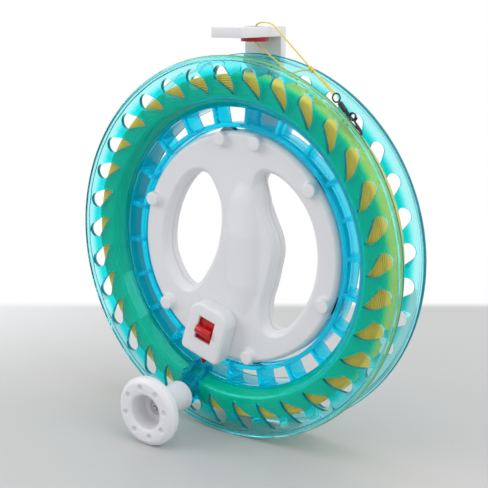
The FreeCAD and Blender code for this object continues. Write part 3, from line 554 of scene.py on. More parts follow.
def rounded(points: Sequence[tuple], steps: int = 5) -> list[Point]:
    """Round the corners of a closed outline.

    Args:
        points: Corners (x, y) or (x, y, radius), in mm.
        steps: Steps of each corner's arc.

    Returns:
        The outline with arcs in its corners.
    """
    outline = []
    count = len(points)
    for index, corner in enumerate(points):
        place = Vector(corner[:2])
        if len(corner) < 3:
            outline.append(tuple(place))
            continue
        back = Vector(points[index - 1][:2]) - place
        ahead = Vector(points[(index + 1) % count][:2]) - place
        half = back.angle(ahead) / 2
        cut = min(corner[2] / math.tan(half), 0.49 * back.length, 0.49 * ahead.length)
        if cut < 1e-6:
            outline.append(tuple(place))
            continue
        radius = cut * math.tan(half)
        centre = place + (back.normalized() + ahead.normalized()).normalized() * (radius / math.sin(half))
        first = place + back.normalized() * cut - centre
        last = place + ahead.normalized() * cut - centre
        turn = first.angle_signed(last)
        for step in range(steps + 1):
            spoke = first.copy()
            spoke.rotate(Matrix.Rotation(-turn * step / steps, 2))
            outline.append(tuple(centre + spoke))
    return outline


def new_object(name: str, data: bpy.types.ID) -> bpy.types.Object:
    """Put an object with the given data in the scene.

    Args:
        name: Name of the object.
        data: Its mesh, curve, camera or light.

    Returns:
        The object.
    """
    piece = bpy.data.objects.new(name, data)
    bpy.context.scene.collection.objects.link(piece)
    return piece


def mesh_object(name: str, vertices: Iterable, faces: Iterable,
                smooth_angle: float = 35.0) -> bpy.types.Object:
    """Make an object from vertices and faces, with outward normals and smooth shading by angle.

    Args:
        name: Name of the piece.
        vertices: Places in metres.
        faces: Lists of vertex numbers.
        smooth_angle: Edges sharper than this stay sharp, in degrees.

    Returns:
        The object.
    """
    mesh = bpy.data.meshes.new(name)
    mesh.from_pydata([tuple(v) for v in vertices], [], list(faces))
    piece = new_object(name, mesh)
    finish_mesh(piece, smooth_angle)
    return piece


def finish_mesh(piece: bpy.types.Object, smooth_angle: float = 35.0) -> None:
    """Turn all faces outwards and set sharp edges by angle.

    Args:
        piece: The piece.
        smooth_angle: Edges sharper than this stay sharp, in degrees.
    """
    shell = bmesh.new()
    shell.from_mesh(piece.data)
    bmesh.ops.remove_doubles(shell, verts=shell.verts, dist=1e-7)
    bmesh.ops.recalc_face_normals(shell, faces=shell.faces)
    for face in shell.faces:
        face.smooth = True
    limit = math.radians(smooth_angle)
    for edge in shell.edges:
        edge.smooth = len(edge.link_faces) == 2 and edge.calc_face_angle(0.0) < limit
    shell.to_mesh(piece.data)
    shell.free()


def lathe(name: str, outline: Sequence[Point], segments: int = 240,
          centre: Place = (0.0, 0.0, 0.0)) -> bpy.types.Object:
    """Turn a closed outline round an axis that lies along the wheel's.

    Args:
        name: Name of the piece.
        outline: Closed outline of (radius, height) in mm.
        segments: Steps round the axis.
        centre: A point of the axis in mm.

    Returns:
        The turned piece.
    """
    vertices = []
    for step in range(segments):
        turn = 2 * math.pi * step / segments
        side, front = math.sin(turn), math.cos(turn)
        for radius, height in outline:
            place = Vector((radius * side, height, radius * front))
            vertices.append((place + Vector(centre)) * MM)
    count = len(outline)
    faces = []
    for step in range(segments):
        first, second = step * count, ((step + 1) % segments) * count
        for index in range(count):
            following = (index + 1) % count
            faces.append((first + index, first + following, second + following, second + index))
    return mesh_object(name, vertices, faces)


def prism(name: str, outline: Sequence[Point], front: float, back: float) -> bpy.types.Object:
    """Extrude an outline of (x, z) along the wheel's axis.

    Args:
        name: Name of the piece.
        outline: Closed outline in mm.
        front: Front face in mm.
        back: Rear face in mm.

    Returns:
        The prism.
    """
    count = len(outline)
    vertices = [Vector((x, y, z)) * MM for y in (front, back) for x, z in outline]
    faces = [list(range(count)), [count + index for index in reversed(range(count))]]
    faces += [(i, (i + 1) % count, count + (i + 1) % count, count + i) for i in range(count)]
    return mesh_object(name, vertices, faces)


def cut_cross(piece: bpy.types.Object, centre: Point, arms: Point, depth: Point) -> None:
    """Cut a cross recess in a screw or spindle head.

    Args:
        piece: The head.
        centre: Middle (x, z) of the cross in mm.
        arms: Half length and half width of an arm in mm.
        depth: Front and back of the cut along the wheel's axis in mm.
    """
    x, z = centre
    for long, wide in (arms, arms[::-1]):
        outline = [(x - long, z - wide), (x + long, z - wide), (x + long, z + wide), (x - long, z + wide)]
        cut_away(piece, prism("cross_slot", outline, *depth))
    finish_mesh(piece, 40.0)


def joined(name: str, pieces: Sequence[bpy.types.Object]) -> bpy.types.Object:
    """Join several meshes in one object.

    Args:
        name: Name of the result.
        pieces: Mesh objects, which are removed.

    Returns:
        The joined object.
    """
    shell = bmesh.new()
    for piece in pieces:
        shell.from_mesh(piece.data)
        bpy.data.objects.remove(piece)
    mesh = bpy.data.meshes.new(name)
    shell.to_mesh(mesh)
    shell.free()
    return new_object(name, mesh)


def evaluated(piece: bpy.types.Object) -> bpy.types.Object:
    """Turn a piece's live modifiers into its own mesh.

    Args:
        piece: A mesh or curve object with modifiers.

    Returns:
        A mesh object of the same name.
    """
    bpy.context.view_layer.update()
    graph = bpy.context.evaluated_depsgraph_get()
    mesh = bpy.data.meshes.new_from_object(piece.evaluated_get(graph))
    name = piece.name
    if piece.type == "MESH":
        piece.modifiers.clear()
        piece.data = mesh
        return piece
    bpy.data.objects.remove(piece)
    return new_object(name, mesh)


def cut_away(piece: bpy.types.Object, cutter: bpy.types.Object) -> bpy.types.Object:
    """Cut one mesh out of another.

    Args:
        piece: The piece to cut.
        cutter: The form to take away, which is removed.

    Returns:
        The cut piece.
    """
    modifier = piece.modifiers.new("cut", "BOOLEAN")
    modifier.operation = "DIFFERENCE"
    modifier.solver = "EXACT"
    modifier.object = cutter
    evaluated(piece)
    bpy.data.objects.remove(cutter)
    finish_mesh(piece)
    return piece


def soften(piece: bpy.types.Object, width: float, segments: int = 2, angle: float = 40.0) -> bpy.types.Object:
    """Bevel the sharp edges of a piece.

    Args:
        piece: The piece.
        width: Width of the bevel in mm.
        segments: Steps of the bevel.
        angle: Edges sharper than this are bevelled, in degrees.

    Returns:
        The same piece.
    """
    modifier = piece.modifiers.new("bevel", "BEVEL")
    modifier.width = width * MM
    modifier.segments = segments
    modifier.limit_method = "ANGLE"
    modifier.angle_limit = math.radians(angle)
    modifier.use_clamp_overlap = True
    evaluated(piece)
    finish_mesh(piece)
    return piece


def finish_tree(sheet: NodeSheet, last: bpy.types.Node, inner: bpy.types.Node,
                outer: bpy.types.Node) -> None:
    """End a geometry tree: real geometry with the tree's Finish on it.

    Args:
        sheet: Sheet of the tree.
        last: Last node of the form.
        inner: Input node of the tree.
        outer: Output node of the tree.
    """
    real = sheet.add("GeometryNodeRealizeInstances")
    finish = sheet.add("GeometryNodeSetMaterial")
    sheet.link(last.outputs[0], real.inputs[0])
    sheet.link(real.outputs[0], finish.inputs["Geometry"])
    sheet.link(inner.outputs["Finish"], finish.inputs["Material"])
    sheet.link(finish.outputs[0], outer.inputs[0])


class RepeatTrees:
    """Geometry Nodes trees for what repeats or follows a path."""

    def __init__(self) -> None:
        """Build each tree once."""
        self.ring = self.copies_round_axis()
        self.tube = self.tube_along_path()

    @staticmethod
    def copies_round_axis() -> bpy.types.NodeTree:
        """Copies of a piece, evenly spaced round the wheel's axis.

        Returns:
            A tree with Count, Phase and Finish inputs.
        """
        tree, sheet, inner, outer = new_group(
            "copies_round_axis", "GeometryNodeTree",
            [("Geometry", "NodeSocketGeometry"), ("Count", "NodeSocketInt", 6),
             ("Phase", "NodeSocketFloat", 0.0), ("Finish", "NodeSocketMaterial")],
            [("Geometry", "NodeSocketGeometry")])
        tree.is_modifier = True
        points = sheet.add("GeometryNodePoints")
        sheet.link(inner.outputs["Count"], points.inputs["Count"])
        number = sheet.add("GeometryNodeInputIndex")
        step = sheet.math("DIVIDE", 2 * math.pi, inner.outputs["Count"])
        turn = sheet.math("ADD", sheet.math("MULTIPLY", number.outputs[0], step), inner.outputs["Phase"])
        rotation = sheet.add("ShaderNodeCombineXYZ")
        sheet.link(turn, rotation.inputs["Y"])
        copies = sheet.add("GeometryNodeInstanceOnPoints")
        sheet.link(points.outputs[0], copies.inputs["Points"])
        sheet.link(inner.outputs["Geometry"], copies.inputs["Instance"])
        sheet.link(rotation.outputs[0], copies.inputs["Rotation"])
        finish_tree(sheet, copies, inner, outer)
        return tree

    @staticmethod
    def tube_along_path() -> bpy.types.NodeTree:
        """A strand along a curve, with a slight unevenness of its lay.

        Returns:
            A tree with Radius, Sides, Wander, Grain, Seed and Finish inputs.
        """
        tree, sheet, inner, outer = new_group(
            "strand_along_path", "GeometryNodeTree",
            [("Geometry", "NodeSocketGeometry"), ("Radius", "NodeSocketFloat", 0.0005),
             ("Sides", "NodeSocketInt", 6), ("Wander", "NodeSocketFloat", 0.0),
             ("Grain", "NodeSocketFloat", 60.0), ("Seed", "NodeSocketFloat", 3.0),
             ("Finish", "NodeSocketMaterial")],
            [("Geometry", "NodeSocketGeometry")])
        tree.is_modifier = True
        noise = sheet.add("ShaderNodeTexNoise", noise_dimensions="4D", Detail=1.0)
        place = sheet.add("GeometryNodeInputPosition")
        sheet.link(place.outputs[0], noise.inputs["Vector"])
        sheet.link(inner.outputs["Grain"], noise.inputs["Scale"])
        sheet.link(inner.outputs["Seed"], noise.inputs["W"])
        centred = sheet.add("ShaderNodeVectorMath", operation="SUBTRACT")
        centred.inputs[1].default_value = (0.5, 0.5, 0.5)
        sheet.link(noise.outputs["Color"], centred.inputs[0])
        scaled = sheet.add("ShaderNodeVectorMath", operation="SCALE")
        sheet.link(centred.outputs[0], scaled.inputs[0])
        sheet.link(inner.outputs["Wander"], scaled.inputs["Scale"])
        moved = sheet.add("GeometryNodeSetPosition")
        sheet.link(inner.outputs["Geometry"], moved.inputs["Geometry"])
        sheet.link(scaled.outputs[0], moved.inputs["Offset"])
        section = sheet.add("GeometryNodeCurvePrimitiveCircle")
        sheet.link(inner.outputs["Sides"], section.inputs["Resolution"])
        sheet.link(inner.outputs["Radius"], section.inputs["Radius"])
        strand = sheet.add("GeometryNodeCurveToMesh")
        strand.inputs["Fill Caps"].default_value = True
        sheet.link(moved.outputs[0], strand.inputs["Curve"])
        sheet.link(section.outputs[0], strand.inputs["Profile Curve"])
        smooth = sheet.add("GeometryNodeSetShadeSmooth")
        sheet.link(strand.outputs[0], smooth.inputs[0])
        finish_tree(sheet, smooth, inner, outer)
        return tree

    def wire(self, name: str, places: Sequence[Vector], radius: float,
             finish: bpy.types.Material) -> bpy.types.Object:
        """A round wire or strand through given places.

        Args:
            name: Name of the piece.
            places: Places in metres.
            radius: Its radius in mm.
            finish: Its material.

        Returns:
            The wire.
        """
        return self.apply(path_curve(name, places), self.tube, Radius=radius * MM, Sides=8, Finish=finish)

    @staticmethod
    def apply(piece: bpy.types.Object, tree: bpy.types.NodeTree, **values: object) -> bpy.types.Object:
        """Run a tree on a piece and keep the result as a plain mesh.

        Args:
            piece: The piece that the tree starts from.
            tree: The tree.
            values: Its inputs by name.

        Returns:
            The finished mesh object.
        """
        modifier = piece.modifiers.new(tree.name, "NODES")
        modifier.node_group = tree
        for item in tree.interface.items_tree:
            if item.in_out == "INPUT" and item.name in values:
                modifier[item.identifier] = values[item.name]
        return evaluated(piece)


def path_curve(name: str, places: Sequence[Vector], closed: bool = False) -> bpy.types.Object:
    """A plain poly curve through places in metres.

    Args:
        name: Name of the curve.
        places: Points in metres.
        closed: True to close the curve.

    Returns:
        The curve object.
    """
    data = bpy.data.curves.new(name, "CURVE")
    data.dimensions = "3D"
    spline = data.splines.new("POLY")
    spline.points.add(len(places) - 1)
    for point, place in zip(spline.points, places):
        point.co = (*place, 1.0)
    spline.use_cyclic_u = closed
    return new_object(name, data)


def route_curve(name: str, points: Sequence[Place], radius: float) -> bpy.types.Object:
    """A smooth cord along a route.

    Args:
        name: Name of the piece.
        points: Control points in mm.
        radius: Radius of the cord in mm.

    Returns:
        The curve object.
    """
    data = bpy.data.curves.new(name, "CURVE")
    data.dimensions = "3D"
    spline = data.splines.new("NURBS")
    spline.points.add(len(points) - 1)
    for point, place in zip(spline.points, points):
        point.co = (*(Vector(place) * MM), 1.0)
    spline.order_u = 3
    spline.use_endpoint_u = True
    spline.resolution_u = 16
    data.bevel_depth = radius * MM
    data.bevel_resolution = 4
    data.use_fill_caps = True
    return new_object(name, data)


def smooth_path(points: Sequence[Vector], steps: int = 8, closed: bool = False) -> list[Vector]:
    """Points of a smooth curve through given points.

    Args:
        points: Points in mm.
        steps: Steps between two points.
        closed: True for a closed loop.

    Returns:
        The finer points.
    """
    count = len(points)
    spans = count if closed else count - 1
    result = []
    for index in range(spans):
        if closed:
            a, b, c, d = (points[(index + shift) % count] for shift in (-1, 0, 1, 2))
        else:
            a, b, c, d = (points[min(max(index + shift, 0), count - 1)] for shift in (-1, 0, 1, 2))
        for step in range(steps):
            t = step / steps
            result.append(0.5 * ((2 * b) + (c - a) * t + (2 * a - 5 * b + 4 * c - d) * t * t
                                 + (3 * b - a - 3 * c + d) * t ** 3))
    if not closed:
        result.append(points[-1])
    return result


@dataclass
class Wheel:
    """Both flanges, the ribbed drum and the knob bracket."""

    palette: Palette
    trees: RepeatTrees
    radius: float = 130.0
    half_width: float = 17.2
    wall: float = 2.8
    shoulder: float = 103.0
    drum: float = 98.5
    drum_wall: float = 2.5
    drum_front: float = -5.0
    drum_back: float = 12.0
    foot: float = 2.4
    drop_count: int = 33
    drop_phase: float = 8.5
    rib_count: int = 22
    rib_phase: float = 4.8
    track: float = 83.1
    track_plane: float = 2.35
    knob_angle: float = KNOB_ANGLE
    fork_half: float = 6.2
    cut_inside: float = 8.0
    cut_past: float = 3.0

    def build(self) -> None:
        """Make and dress the pieces of the wheel."""
        pieces = [
            (self.flange("front_flange_clear", -1, self.drum_front), "front_flange"),
            (self.flange("rear_flange_clear", 1, self.drum_back), "rear_flange"),
            (self.ribbed_drum(), "drum_rib_ring"),
        ]
        for piece, node in pieces:
            self.palette.install(piece, Slot.CYAN, Body.WHEEL.value, node)
            if node == "drum_rib_ring":
                piece.data.materials[0] = self.palette.ring
            else:
                # Hole walls and rim bead steps take the darker tint of painted shade.
                self.palette.add_finish(piece, self.palette.edge, self.takes_painted_wall_shade)
        bracket = joined("knob_bracket_clear", [
            refined_copy("fork", ["knob_bracket"], 0.35), *self.fork_ribs()])
        finish_mesh(bracket)
        self.palette.install(bracket, Slot.CYAN, Body.WHEEL.value, "knob_bracket")
        bracket.data.materials[0] = self.palette.fork

    def fork_ribs(self) -> list[bpy.types.Object]:
        """Low stiffening ribs along both outer sides of the knob's fork.

        Returns:
            The ribs.
        """
        out, across = directions(self.knob_angle)
        ribs = []
        for side in (-1, 1):
            for place in (94.5, 98.0, 101.5):
                low = out * place + across * (side * self.fork_half)
                corners = [low + across * (side * s) + out * o for s, o in
                           ((-0.8, -0.55), (0.25, -0.3), (0.25, 0.3), (-0.8, 0.55))]
                ribs.append(prism("fork_rib", [(c.x, c.z) for c in corners], -23.2, -18.4))
        return ribs

    @staticmethod
    def takes_painted_wall_shade(face: bpy.types.MeshPolygon) -> bool:
        """Whether a flange face stands across the plate and takes a darker tint as painted shade.

        Args:
            face: The face.

        Returns:
            True in the wall of a teardrop hole and on the steps of the rim bead.
        """
        reach = math.hypot(face.center.x, face.center.z)
        return abs(face.normal.y) < 0.6 and reach > 0.1038

    def flange(self, name: str, side: int, edge: float) -> bpy.types.Object:
        """A dished flange with its rim bead and teardrop holes.

        Args:
            name: Name of the piece.
            side: -1 for the front, 1 for the rear.
            edge: Edge of the drum that its foot stands on, in mm.

        Returns:
            The flange.
        """
        outer = side * self.half_width
        inner = outer - side * self.wall
        top = edge + side * self.foot
        start = self.shoulder - 0.7 * self.wall
        rim = self.radius
        outline = rounded([
            (self.drum - self.drum_wall, edge),
            (self.drum, edge),
            (self.drum, top, 2.0),
            (self.shoulder, inner, 2.0),
            (rim - 3.9, inner, 0.4),
            (rim - 2.9, outer - side * 4.0, 0.5),
            (rim - 0.8, outer - side * 4.0, 0.8),
            (rim, outer - side * 2.6, 0.5),
            (rim, outer - side * 1.0, 0.6),
            (rim - 1.0, outer, 0.4),
            (rim - 2.0, outer, 0.2),
            (rim - 2.3, outer - side * 0.35, 0.15),
            (rim - 2.7, outer - side * 0.35, 0.15),
            (rim - 3.0, outer, 0.2),
            (start, outer, 4.0),
            (self.drum - self.drum_wall, top, 2.2),
        ], 4)
        flange = lathe(name, outline, 256)
        front, back = sorted((side * self.cut_inside, side * (self.half_width + self.cut_past)))
        drop = prism(name + "_drop", self.teardrop(), front, back)
        holes = self.trees.apply(drop, self.trees.ring, Count=self.drop_count,
                                 Phase=math.radians(self.drop_phase))
        cut_away(flange, holes)
        return soften(flange, 0.35, 2, 60.0)

    @staticmethod
    def teardrop() -> list[Point]:
        """Outline of one hole: round head outside, curved tail inside.

        Returns:
            The outline in mm.
        """
        head, radius = Vector((0.0, 118.1)), 5.5
        tail = Vector((10.1, 104.6))
        turn = [math.radians(225 - 10 * s) for s in range(19)]
        arc = [head + radius * Vector((math.cos(a), math.sin(a))) for a in turn]
        right = [arc[-1], Vector((7.0, 117.5)), Vector((8.99, 114.05)),
                 Vector((10.4, 109.4)), tail]
        left = [tail, tail.lerp(arc[0], 0.35) + Vector((0.2, 0.35)),
                tail.lerp(arc[0], 0.75) + Vector((0.2, 0.3)), arc[0]]
        sides = []
        for side in (right, left):
            smooth = smooth_path([Vector((p.x, p.y, 0)) for p in side], 5)
            sides.append([Vector((p.x, p.y)) for p in smooth[1:-1]])
        return [tuple(p) for p in arc + sides[0] + [tail] + sides[1]]

    def ribbed_drum(self) -> bpy.types.Object:
        """Track ring, ribs and drum wall.

        Returns:
            The ribbed drum.
        """
        lip = self.track - 0.7
        outside = self.track + 2.4
        half = 2.9
        front, back = self.drum_front, self.drum_back
        plane = self.track_plane
        track = lathe("track", rounded([
            (lip, front, 0.4), (outside, front, 0.4), (outside, back, 0.4), (lip, back, 0.4),
            (lip, plane + half, 0.2), (self.track, plane + half, 0.2),
            (self.track, plane - half, 0.2), (lip, plane - half, 0.2)], 3), 220)
        inner = self.drum - self.drum_wall
        wall = lathe("wall", rounded([
            (inner, front, 0.4), (self.drum, front), (self.drum, back), (inner, back, 0.4)], 3), 220)
        rib = prism("rib", [(-1.5, outside - 0.6), (1.5, outside - 0.6), (1.5, inner + 0.6),
                            (-1.5, inner + 0.6)], front + 0.15, back - 0.15)
        soften(rib, 0.35, 2)
        ribs = self.trees.apply(rib, self.trees.ring, Count=self.rib_count,
                                Phase=math.radians(self.rib_phase))
        drum = joined("ribbed_drum_clear", [track, wall, ribs])
        finish_mesh(drum)
        return drum


def refined_copy(name: str, nodes: Sequence[str], bevel: float, angle: float = 30.0) -> bpy.types.Object:
    """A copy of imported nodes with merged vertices, smooth shading and softened edges.

    Args:
        name: Name of the piece.
        nodes: Names of the nodes to copy.
        bevel: Width of the bevel in mm, or 0 for none.
        angle: Edges sharper than this are bevelled and stay sharp, in degrees.

    Returns:
        The piece.
    """
    shell = bmesh.new()
    for node in nodes:
        shell.from_mesh(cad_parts[node].data)
    mesh = bpy.data.meshes.new(name)
    bmesh.ops.remove_doubles(shell, verts=shell.verts, dist=2e-6)
    bmesh.ops.dissolve_limit(shell, angle_limit=math.radians(0.5), verts=shell.verts, edges=shell.edges)
    shell.to_mesh(mesh)
    shell.free()
    piece = new_object(name, mesh)
    if bevel > 0:
        soften(piece, bevel, 3, angle)
    finish_mesh(piece, angle)
    return piece


def moulded_copy(name: str, nodes: Sequence[str], voxel: float, passes: int) -> bpy.types.Object:
    """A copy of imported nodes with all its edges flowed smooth, as on a soft moulding.

    Args:
        name: Name of the piece.
        nodes: Names of the nodes to copy.
        voxel: Size of the remesh in mm.
        passes: Smoothing passes.

    Returns:
        The piece.
    """
    piece = refined_copy(name, nodes, 0.0)
    remesh = piece.modifiers.new("remesh", "REMESH")
    remesh.mode = "VOXEL"
    remesh.voxel_size = voxel * MM
    remesh.use_smooth_shade = True
    smooth = piece.modifiers.new("smooth", "SMOOTH")
    smooth.factor = 0.5
    smooth.iterations = passes
    evaluated(piece)
    for face in piece.data.polygons:
        face.use_smooth = True
    return piece


@dataclass
class LinePack:
    """The wound line: a core in painted shade and one strand that lies in layers over its whole surface."""

    palette: Palette
    trees: RepeatTrees
    strand: float = 1.12
    steps: int = 96
    radius: float = 117.0

    def section(self) -> list[Point]:
        """Way of the strand over the pack's section, from the front drum edge to the rear one.

        Returns:
            Points of (radius, y) in mm.
        """
        return [(99.4, -7.2), (103.6, -13.6, 2.0), (self.radius, -13.75, 3.5), (self.radius, 13.75, 3.5),
                (103.4, 13.7, 2.0), (99.4, 12.6)]

    def build(self) -> None:
        """Make and dress the pack."""
        route = self.route()
        curve = path_curve("wound_line", route)
        strand = self.trees.apply(
            curve, self.trees.tube, Radius=self.strand * 0.45 * MM, Sides=6, Wander=0.0002,
            Grain=75.0, Seed=4.0, Finish=self.palette.materials[Slot.LINE])
        core = [(99.0, -6.6), (103.4, -13.0), (self.radius - 0.6, -13.1, 3.5), (self.radius - 0.6, 13.1, 3.5),
                (103.2, 13.1), (99.0, 12.2)]
        under = lathe("wound_line_under", rounded(core, 6), 120)
        shaded = len(under.data.polygons)
        pack = joined("wound_line_pack", [strand, under])
        for face in pack.data.polygons:
            face.use_smooth = True
        self.palette.install(pack, Slot.LINE, Body.WHEEL.value, "line_core", "line_outer_turns")
        # The core shows in the gaps between turns in a dark line colour: painted shade.
        first = len(pack.data.polygons) - shaded
        self.palette.add_finish(pack, self.palette.painted_groove_shade, lambda face: face.index >= first)

    def route(self) -> list[Vector]:
        """Centre line of the strand.

        Returns:
            Points in metres.
        """
        corners = [Vector(point) for point in rounded(self.section() + [(80.0, 0.0)], 6)[:-1]]
        spans = [(b - a).length for a, b in zip(corners, corners[1:])]
        whole = sum(spans)
        turns = int(whole / self.strand)
        route = []
        for step in range(turns * self.steps + 1):
            reach = whole * step / (turns * self.steps)
            index = 0
            while index < len(spans) - 1 and reach > spans[index]:
                reach -= spans[index]
                index += 1
            place = corners[index].lerp(corners[index + 1], min(reach / spans[index], 1.0))
            route.append(polar(place.x, 360.0 * step / self.steps, place.y))
        return route


@dataclass
class Hub:
    """The white grip with its bosses, and the finish of the lock's spring."""

    palette: Palette
    voxel: float = 0.9
    passes: int = 6

    def build(self) -> None:
        """Make and dress the hub."""
        for name, node in (("grip_front_moulding", "hub_front_shell"),
                           ("grip_rear_moulding", "hub_rear_shell")):
            shell = moulded_copy(name, [node], self.voxel, self.passes)
            self.palette.install(shell, Slot.WHITE, Body.HANDLE.value, node)
        self.palette.dress_node("lock_spring", Slot.STEEL)


@dataclass
class Fasteners:
    """Cross-head screws that the plain solids leave out."""

    palette: Palette
    trees: RepeatTrees
    hub_orbit: float = 71.5
    hub_back: float = 11.0
    arm_screws: Sequence[Place] = field(default=((-3.5, 24.7, 65.0), (10.5, 24.7, 65.0)))

    def build(self) -> None:
        """Make and dress the screws."""
        screw = self.head("hub_screw", (0.0, self.hub_back - 0.4, self.hub_orbit))
        ring = self.trees.apply(screw, self.trees.ring, Count=6, Phase=math.radians(21.6),
                                Finish=self.palette.materials[Slot.STEEL])
        ring.name = "hub_screws"
        arm = joined("guide_screws", [self.head(f"guide_screw_{number}", place)
                                      for number, place in enumerate(self.arm_screws)])
        for piece in (ring, arm):
            self.palette.install(piece, Slot.STEEL, Body.HANDLE.value)

    @staticmethod
    def head(name: str, seat: Place) -> bpy.types.Object:
        """A pan head with a cross recess, facing the rear.

        Args:
            name: Name of the piece.
            seat: Middle of its seat in mm.

        Returns:
            The head.
        """
        outline = [(0.02, 0.0), (2.9, 0.0), (2.9, 0.75, 0.4), (1.5, 1.25, 0.8), (0.02, 1.25)]
        head = lathe(name, rounded(outline, 4), 40, seat)
        x, y, z = seat
        cut_cross(head, (x, z), (1.6, 0.32), (y + 0.7, y + 2.0))
        return head


@dataclass
class Rollers:
    """Ball bearings that the wheel runs on."""

    palette: Palette
    count: int = 6

    def build(self) -> None:
        """Make and dress each bearing."""
        for number in range(1, self.count + 1):
            node = f"roller_{number}"
            low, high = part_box(node)
            place = (low.x + high.x) / 2, (low.y + high.y) / 2, (low.z + high.z) / 2
            ring = self.bearing(f"bearing_{number}", tuple(v / MM for v in place))
            self.palette.install(ring, Slot.BEARING, node, node)

    @staticmethod
    def bearing(name: str, centre: Place) -> bpy.types.Object:
        """A ball bearing with its two rings and a sunk shield between them.

        Args:
            name: Name of the piece.
            centre: Its centre in mm.

        Returns:
            The bearing.
        """
        half = [(7.5, 2.5, 0.35), (5.7, 2.5, 0.12), (5.6, 2.15), (4.3, 2.15), (4.2, 2.5, 0.12),
                (3.08, 2.5, 0.2)]
        far = [(r, -y, *cut) for r, y, *cut in reversed(half)]
        return lathe(name, rounded(half + far, 3), 72, centre)


@dataclass
class Lock:
    """Lock housing and slider."""

    palette: Palette
    angle: float = KNOB_ANGLE
    ridge_top: float = -22.2
    ridge_half: float = 6.1
    ridge_place: Place = (61.55, -15.5, 3.25)

    def build(self) -> None:
        """Make and dress the lock."""
        cover = refined_copy("lock_cover", ["lock_housing"], 1.3)
        self.palette.install(cover, Slot.WHITE, Body.HANDLE.value, "lock_housing")
        plate = refined_copy("slider_plate", ["lock_slider"], 0.0)
        cut_away(plate, prism("above_plate", [(-60, -90), (20, -90), (20, -20), (-60, -20)], -24.0, -16.6))
        slider = joined("lock_slider_red", [plate, self.ridge()])
        soften(slider, 0.3, 2)
        finish_mesh(slider, 40.0)
        self.palette.install(slider, Slot.RED, Body.LOCK.value, "lock_slider")

    def ridge(self) -> bpy.types.Object:
        """The half-round thumb ridge of the slider.

        Returns:
            The ridge.
        """
        way, across = directions(self.angle)
        middle, low, half = self.ridge_place
        turns = [math.radians(10 * step) for step in range(19)]
        round_top = [(-half * math.cos(turn), -half * math.sin(turn)) for turn in turns]
        outline = [(-half, low), *round_top, (half, low)]
        vertices = []
        for side in (-self.ridge_half, self.ridge_half):
            for along, rise in outline:
                height = rise if rise == low else rise + self.ridge_top + half
                vertices.append((way * (middle + along) + across * side + Vector((0.0, height, 0.0))) * MM)
        count = len(outline)
        sides = [(i, (i + 1) % count, count + (i + 1) % count, count + i) for i in range(count)]
        caps = [tuple(range(count)), tuple(reversed(range(count, 2 * count)))]
        return mesh_object("thumb_ridge", vertices, sides + caps)


@dataclass
class Knob:
    """The crank knob on its spindle."""

    palette: Palette
    angle: float = KNOB_ANGLE
    orbit: float = 111.0
    base: float = -27.0
    length: float = 39.5
    stem: float = 10.8
    waist: float = 9.6
    disc: float = 24.0
    recess: float = 12.0

    def build(self) -> None:
        """Make and dress the knob."""
        grip = self.grip()
        self.palette.install(grip, Slot.WHITE, Body.KNOB.value, "knob_grip")
        spindle = refined_copy("knob_spindle_steel", ["knob_spindle"], 0.4)
        place = polar(self.orbit, self.angle) / MM
        cut_cross(spindle, (place.x, place.z), (3.2, 0.6), (-54.5, -52.4))
        self.palette.install(spindle, Slot.STEEL, Body.WHEEL.value, "knob_spindle")

    def grip(self) -> bpy.types.Object:
        """The turned knob: waisted stem, round flare, thick disc, recess and eight soft dimples.

        Returns:
            The knob.
        """
        flare = []
        for step in range(13):
            turn = math.radians(90 * step / 12)
            flare.append((self.waist + (self.disc - self.waist) * (1 - math.cos(turn)) * 0.96,
                          self.base - 14.0 - (self.length - 21.0) * math.sin(turn)))
        base, disc, recess = self.base, self.disc, self.recess
        face = base - self.length
        outline = rounded([
            (3.08, base), (self.stem, base, 1.2), (self.waist + 0.05, base - 12.5, 4.0), *flare,
            (disc, face + 7.0, 2.4), (disc, face + 2.6, 2.2), (disc - 3.2, face + 0.2, 3.0),
            (disc - 7.0, face, 3.0), (recess + 0.2, face + 0.5, 2.0), (recess - 1.0, base - 24.5, 1.5),
            (3.08, base - 24.5)], 6)
        place = polar(self.orbit, self.angle) / MM
        grip = lathe("crank_knob", outline, 160, (place.x, 0.0, place.z))
        for number in range(8):
            turn = 2 * math.pi * number / 8 + 0.2
            spot = (place.x + 17.2 * math.cos(turn), 0.0, place.z + 17.2 * math.sin(turn))
            bowl = [(0.0, face - 2.0), (3.1, face - 2.0), (2.7, face - 0.1), (2.3, face + 0.5),
                    (2.0, face + 1.3), (1.2, face + 2.0), (0.0, face + 2.3)]
            cut_away(grip, lathe(f"dimple_{number}", bowl, 28, spot))
        finish_mesh(grip, 32.0)
        return grip


@dataclass
class Guide:
    """The line guide behind and over the wheel."""

    palette: Palette

    def build(self) -> None:
        """Make and dress the guide arm and its eyelet."""
        arm = refined_copy("guide_arm_moulding", ["guide_arm"], 0.8)
        for x in (-3.5, 10.5):
            well = lathe("screw_well", rounded([(0.02, 24.7), (3.3, 24.7), (3.7, 26.6), (0.02, 26.6)], 2), 40,
                         (x, 0.0, 65.0))
            cut_away(arm, well)
        self.palette.install(arm, Slot.WHITE, Body.HANDLE.value, "guide_arm")
        eyelet = refined_copy("guide_eyelet_red", ["guide_eyelet"], 0.3)
        self.palette.install(eyelet, Slot.RED, Body.HANDLE.value, "guide_eyelet")


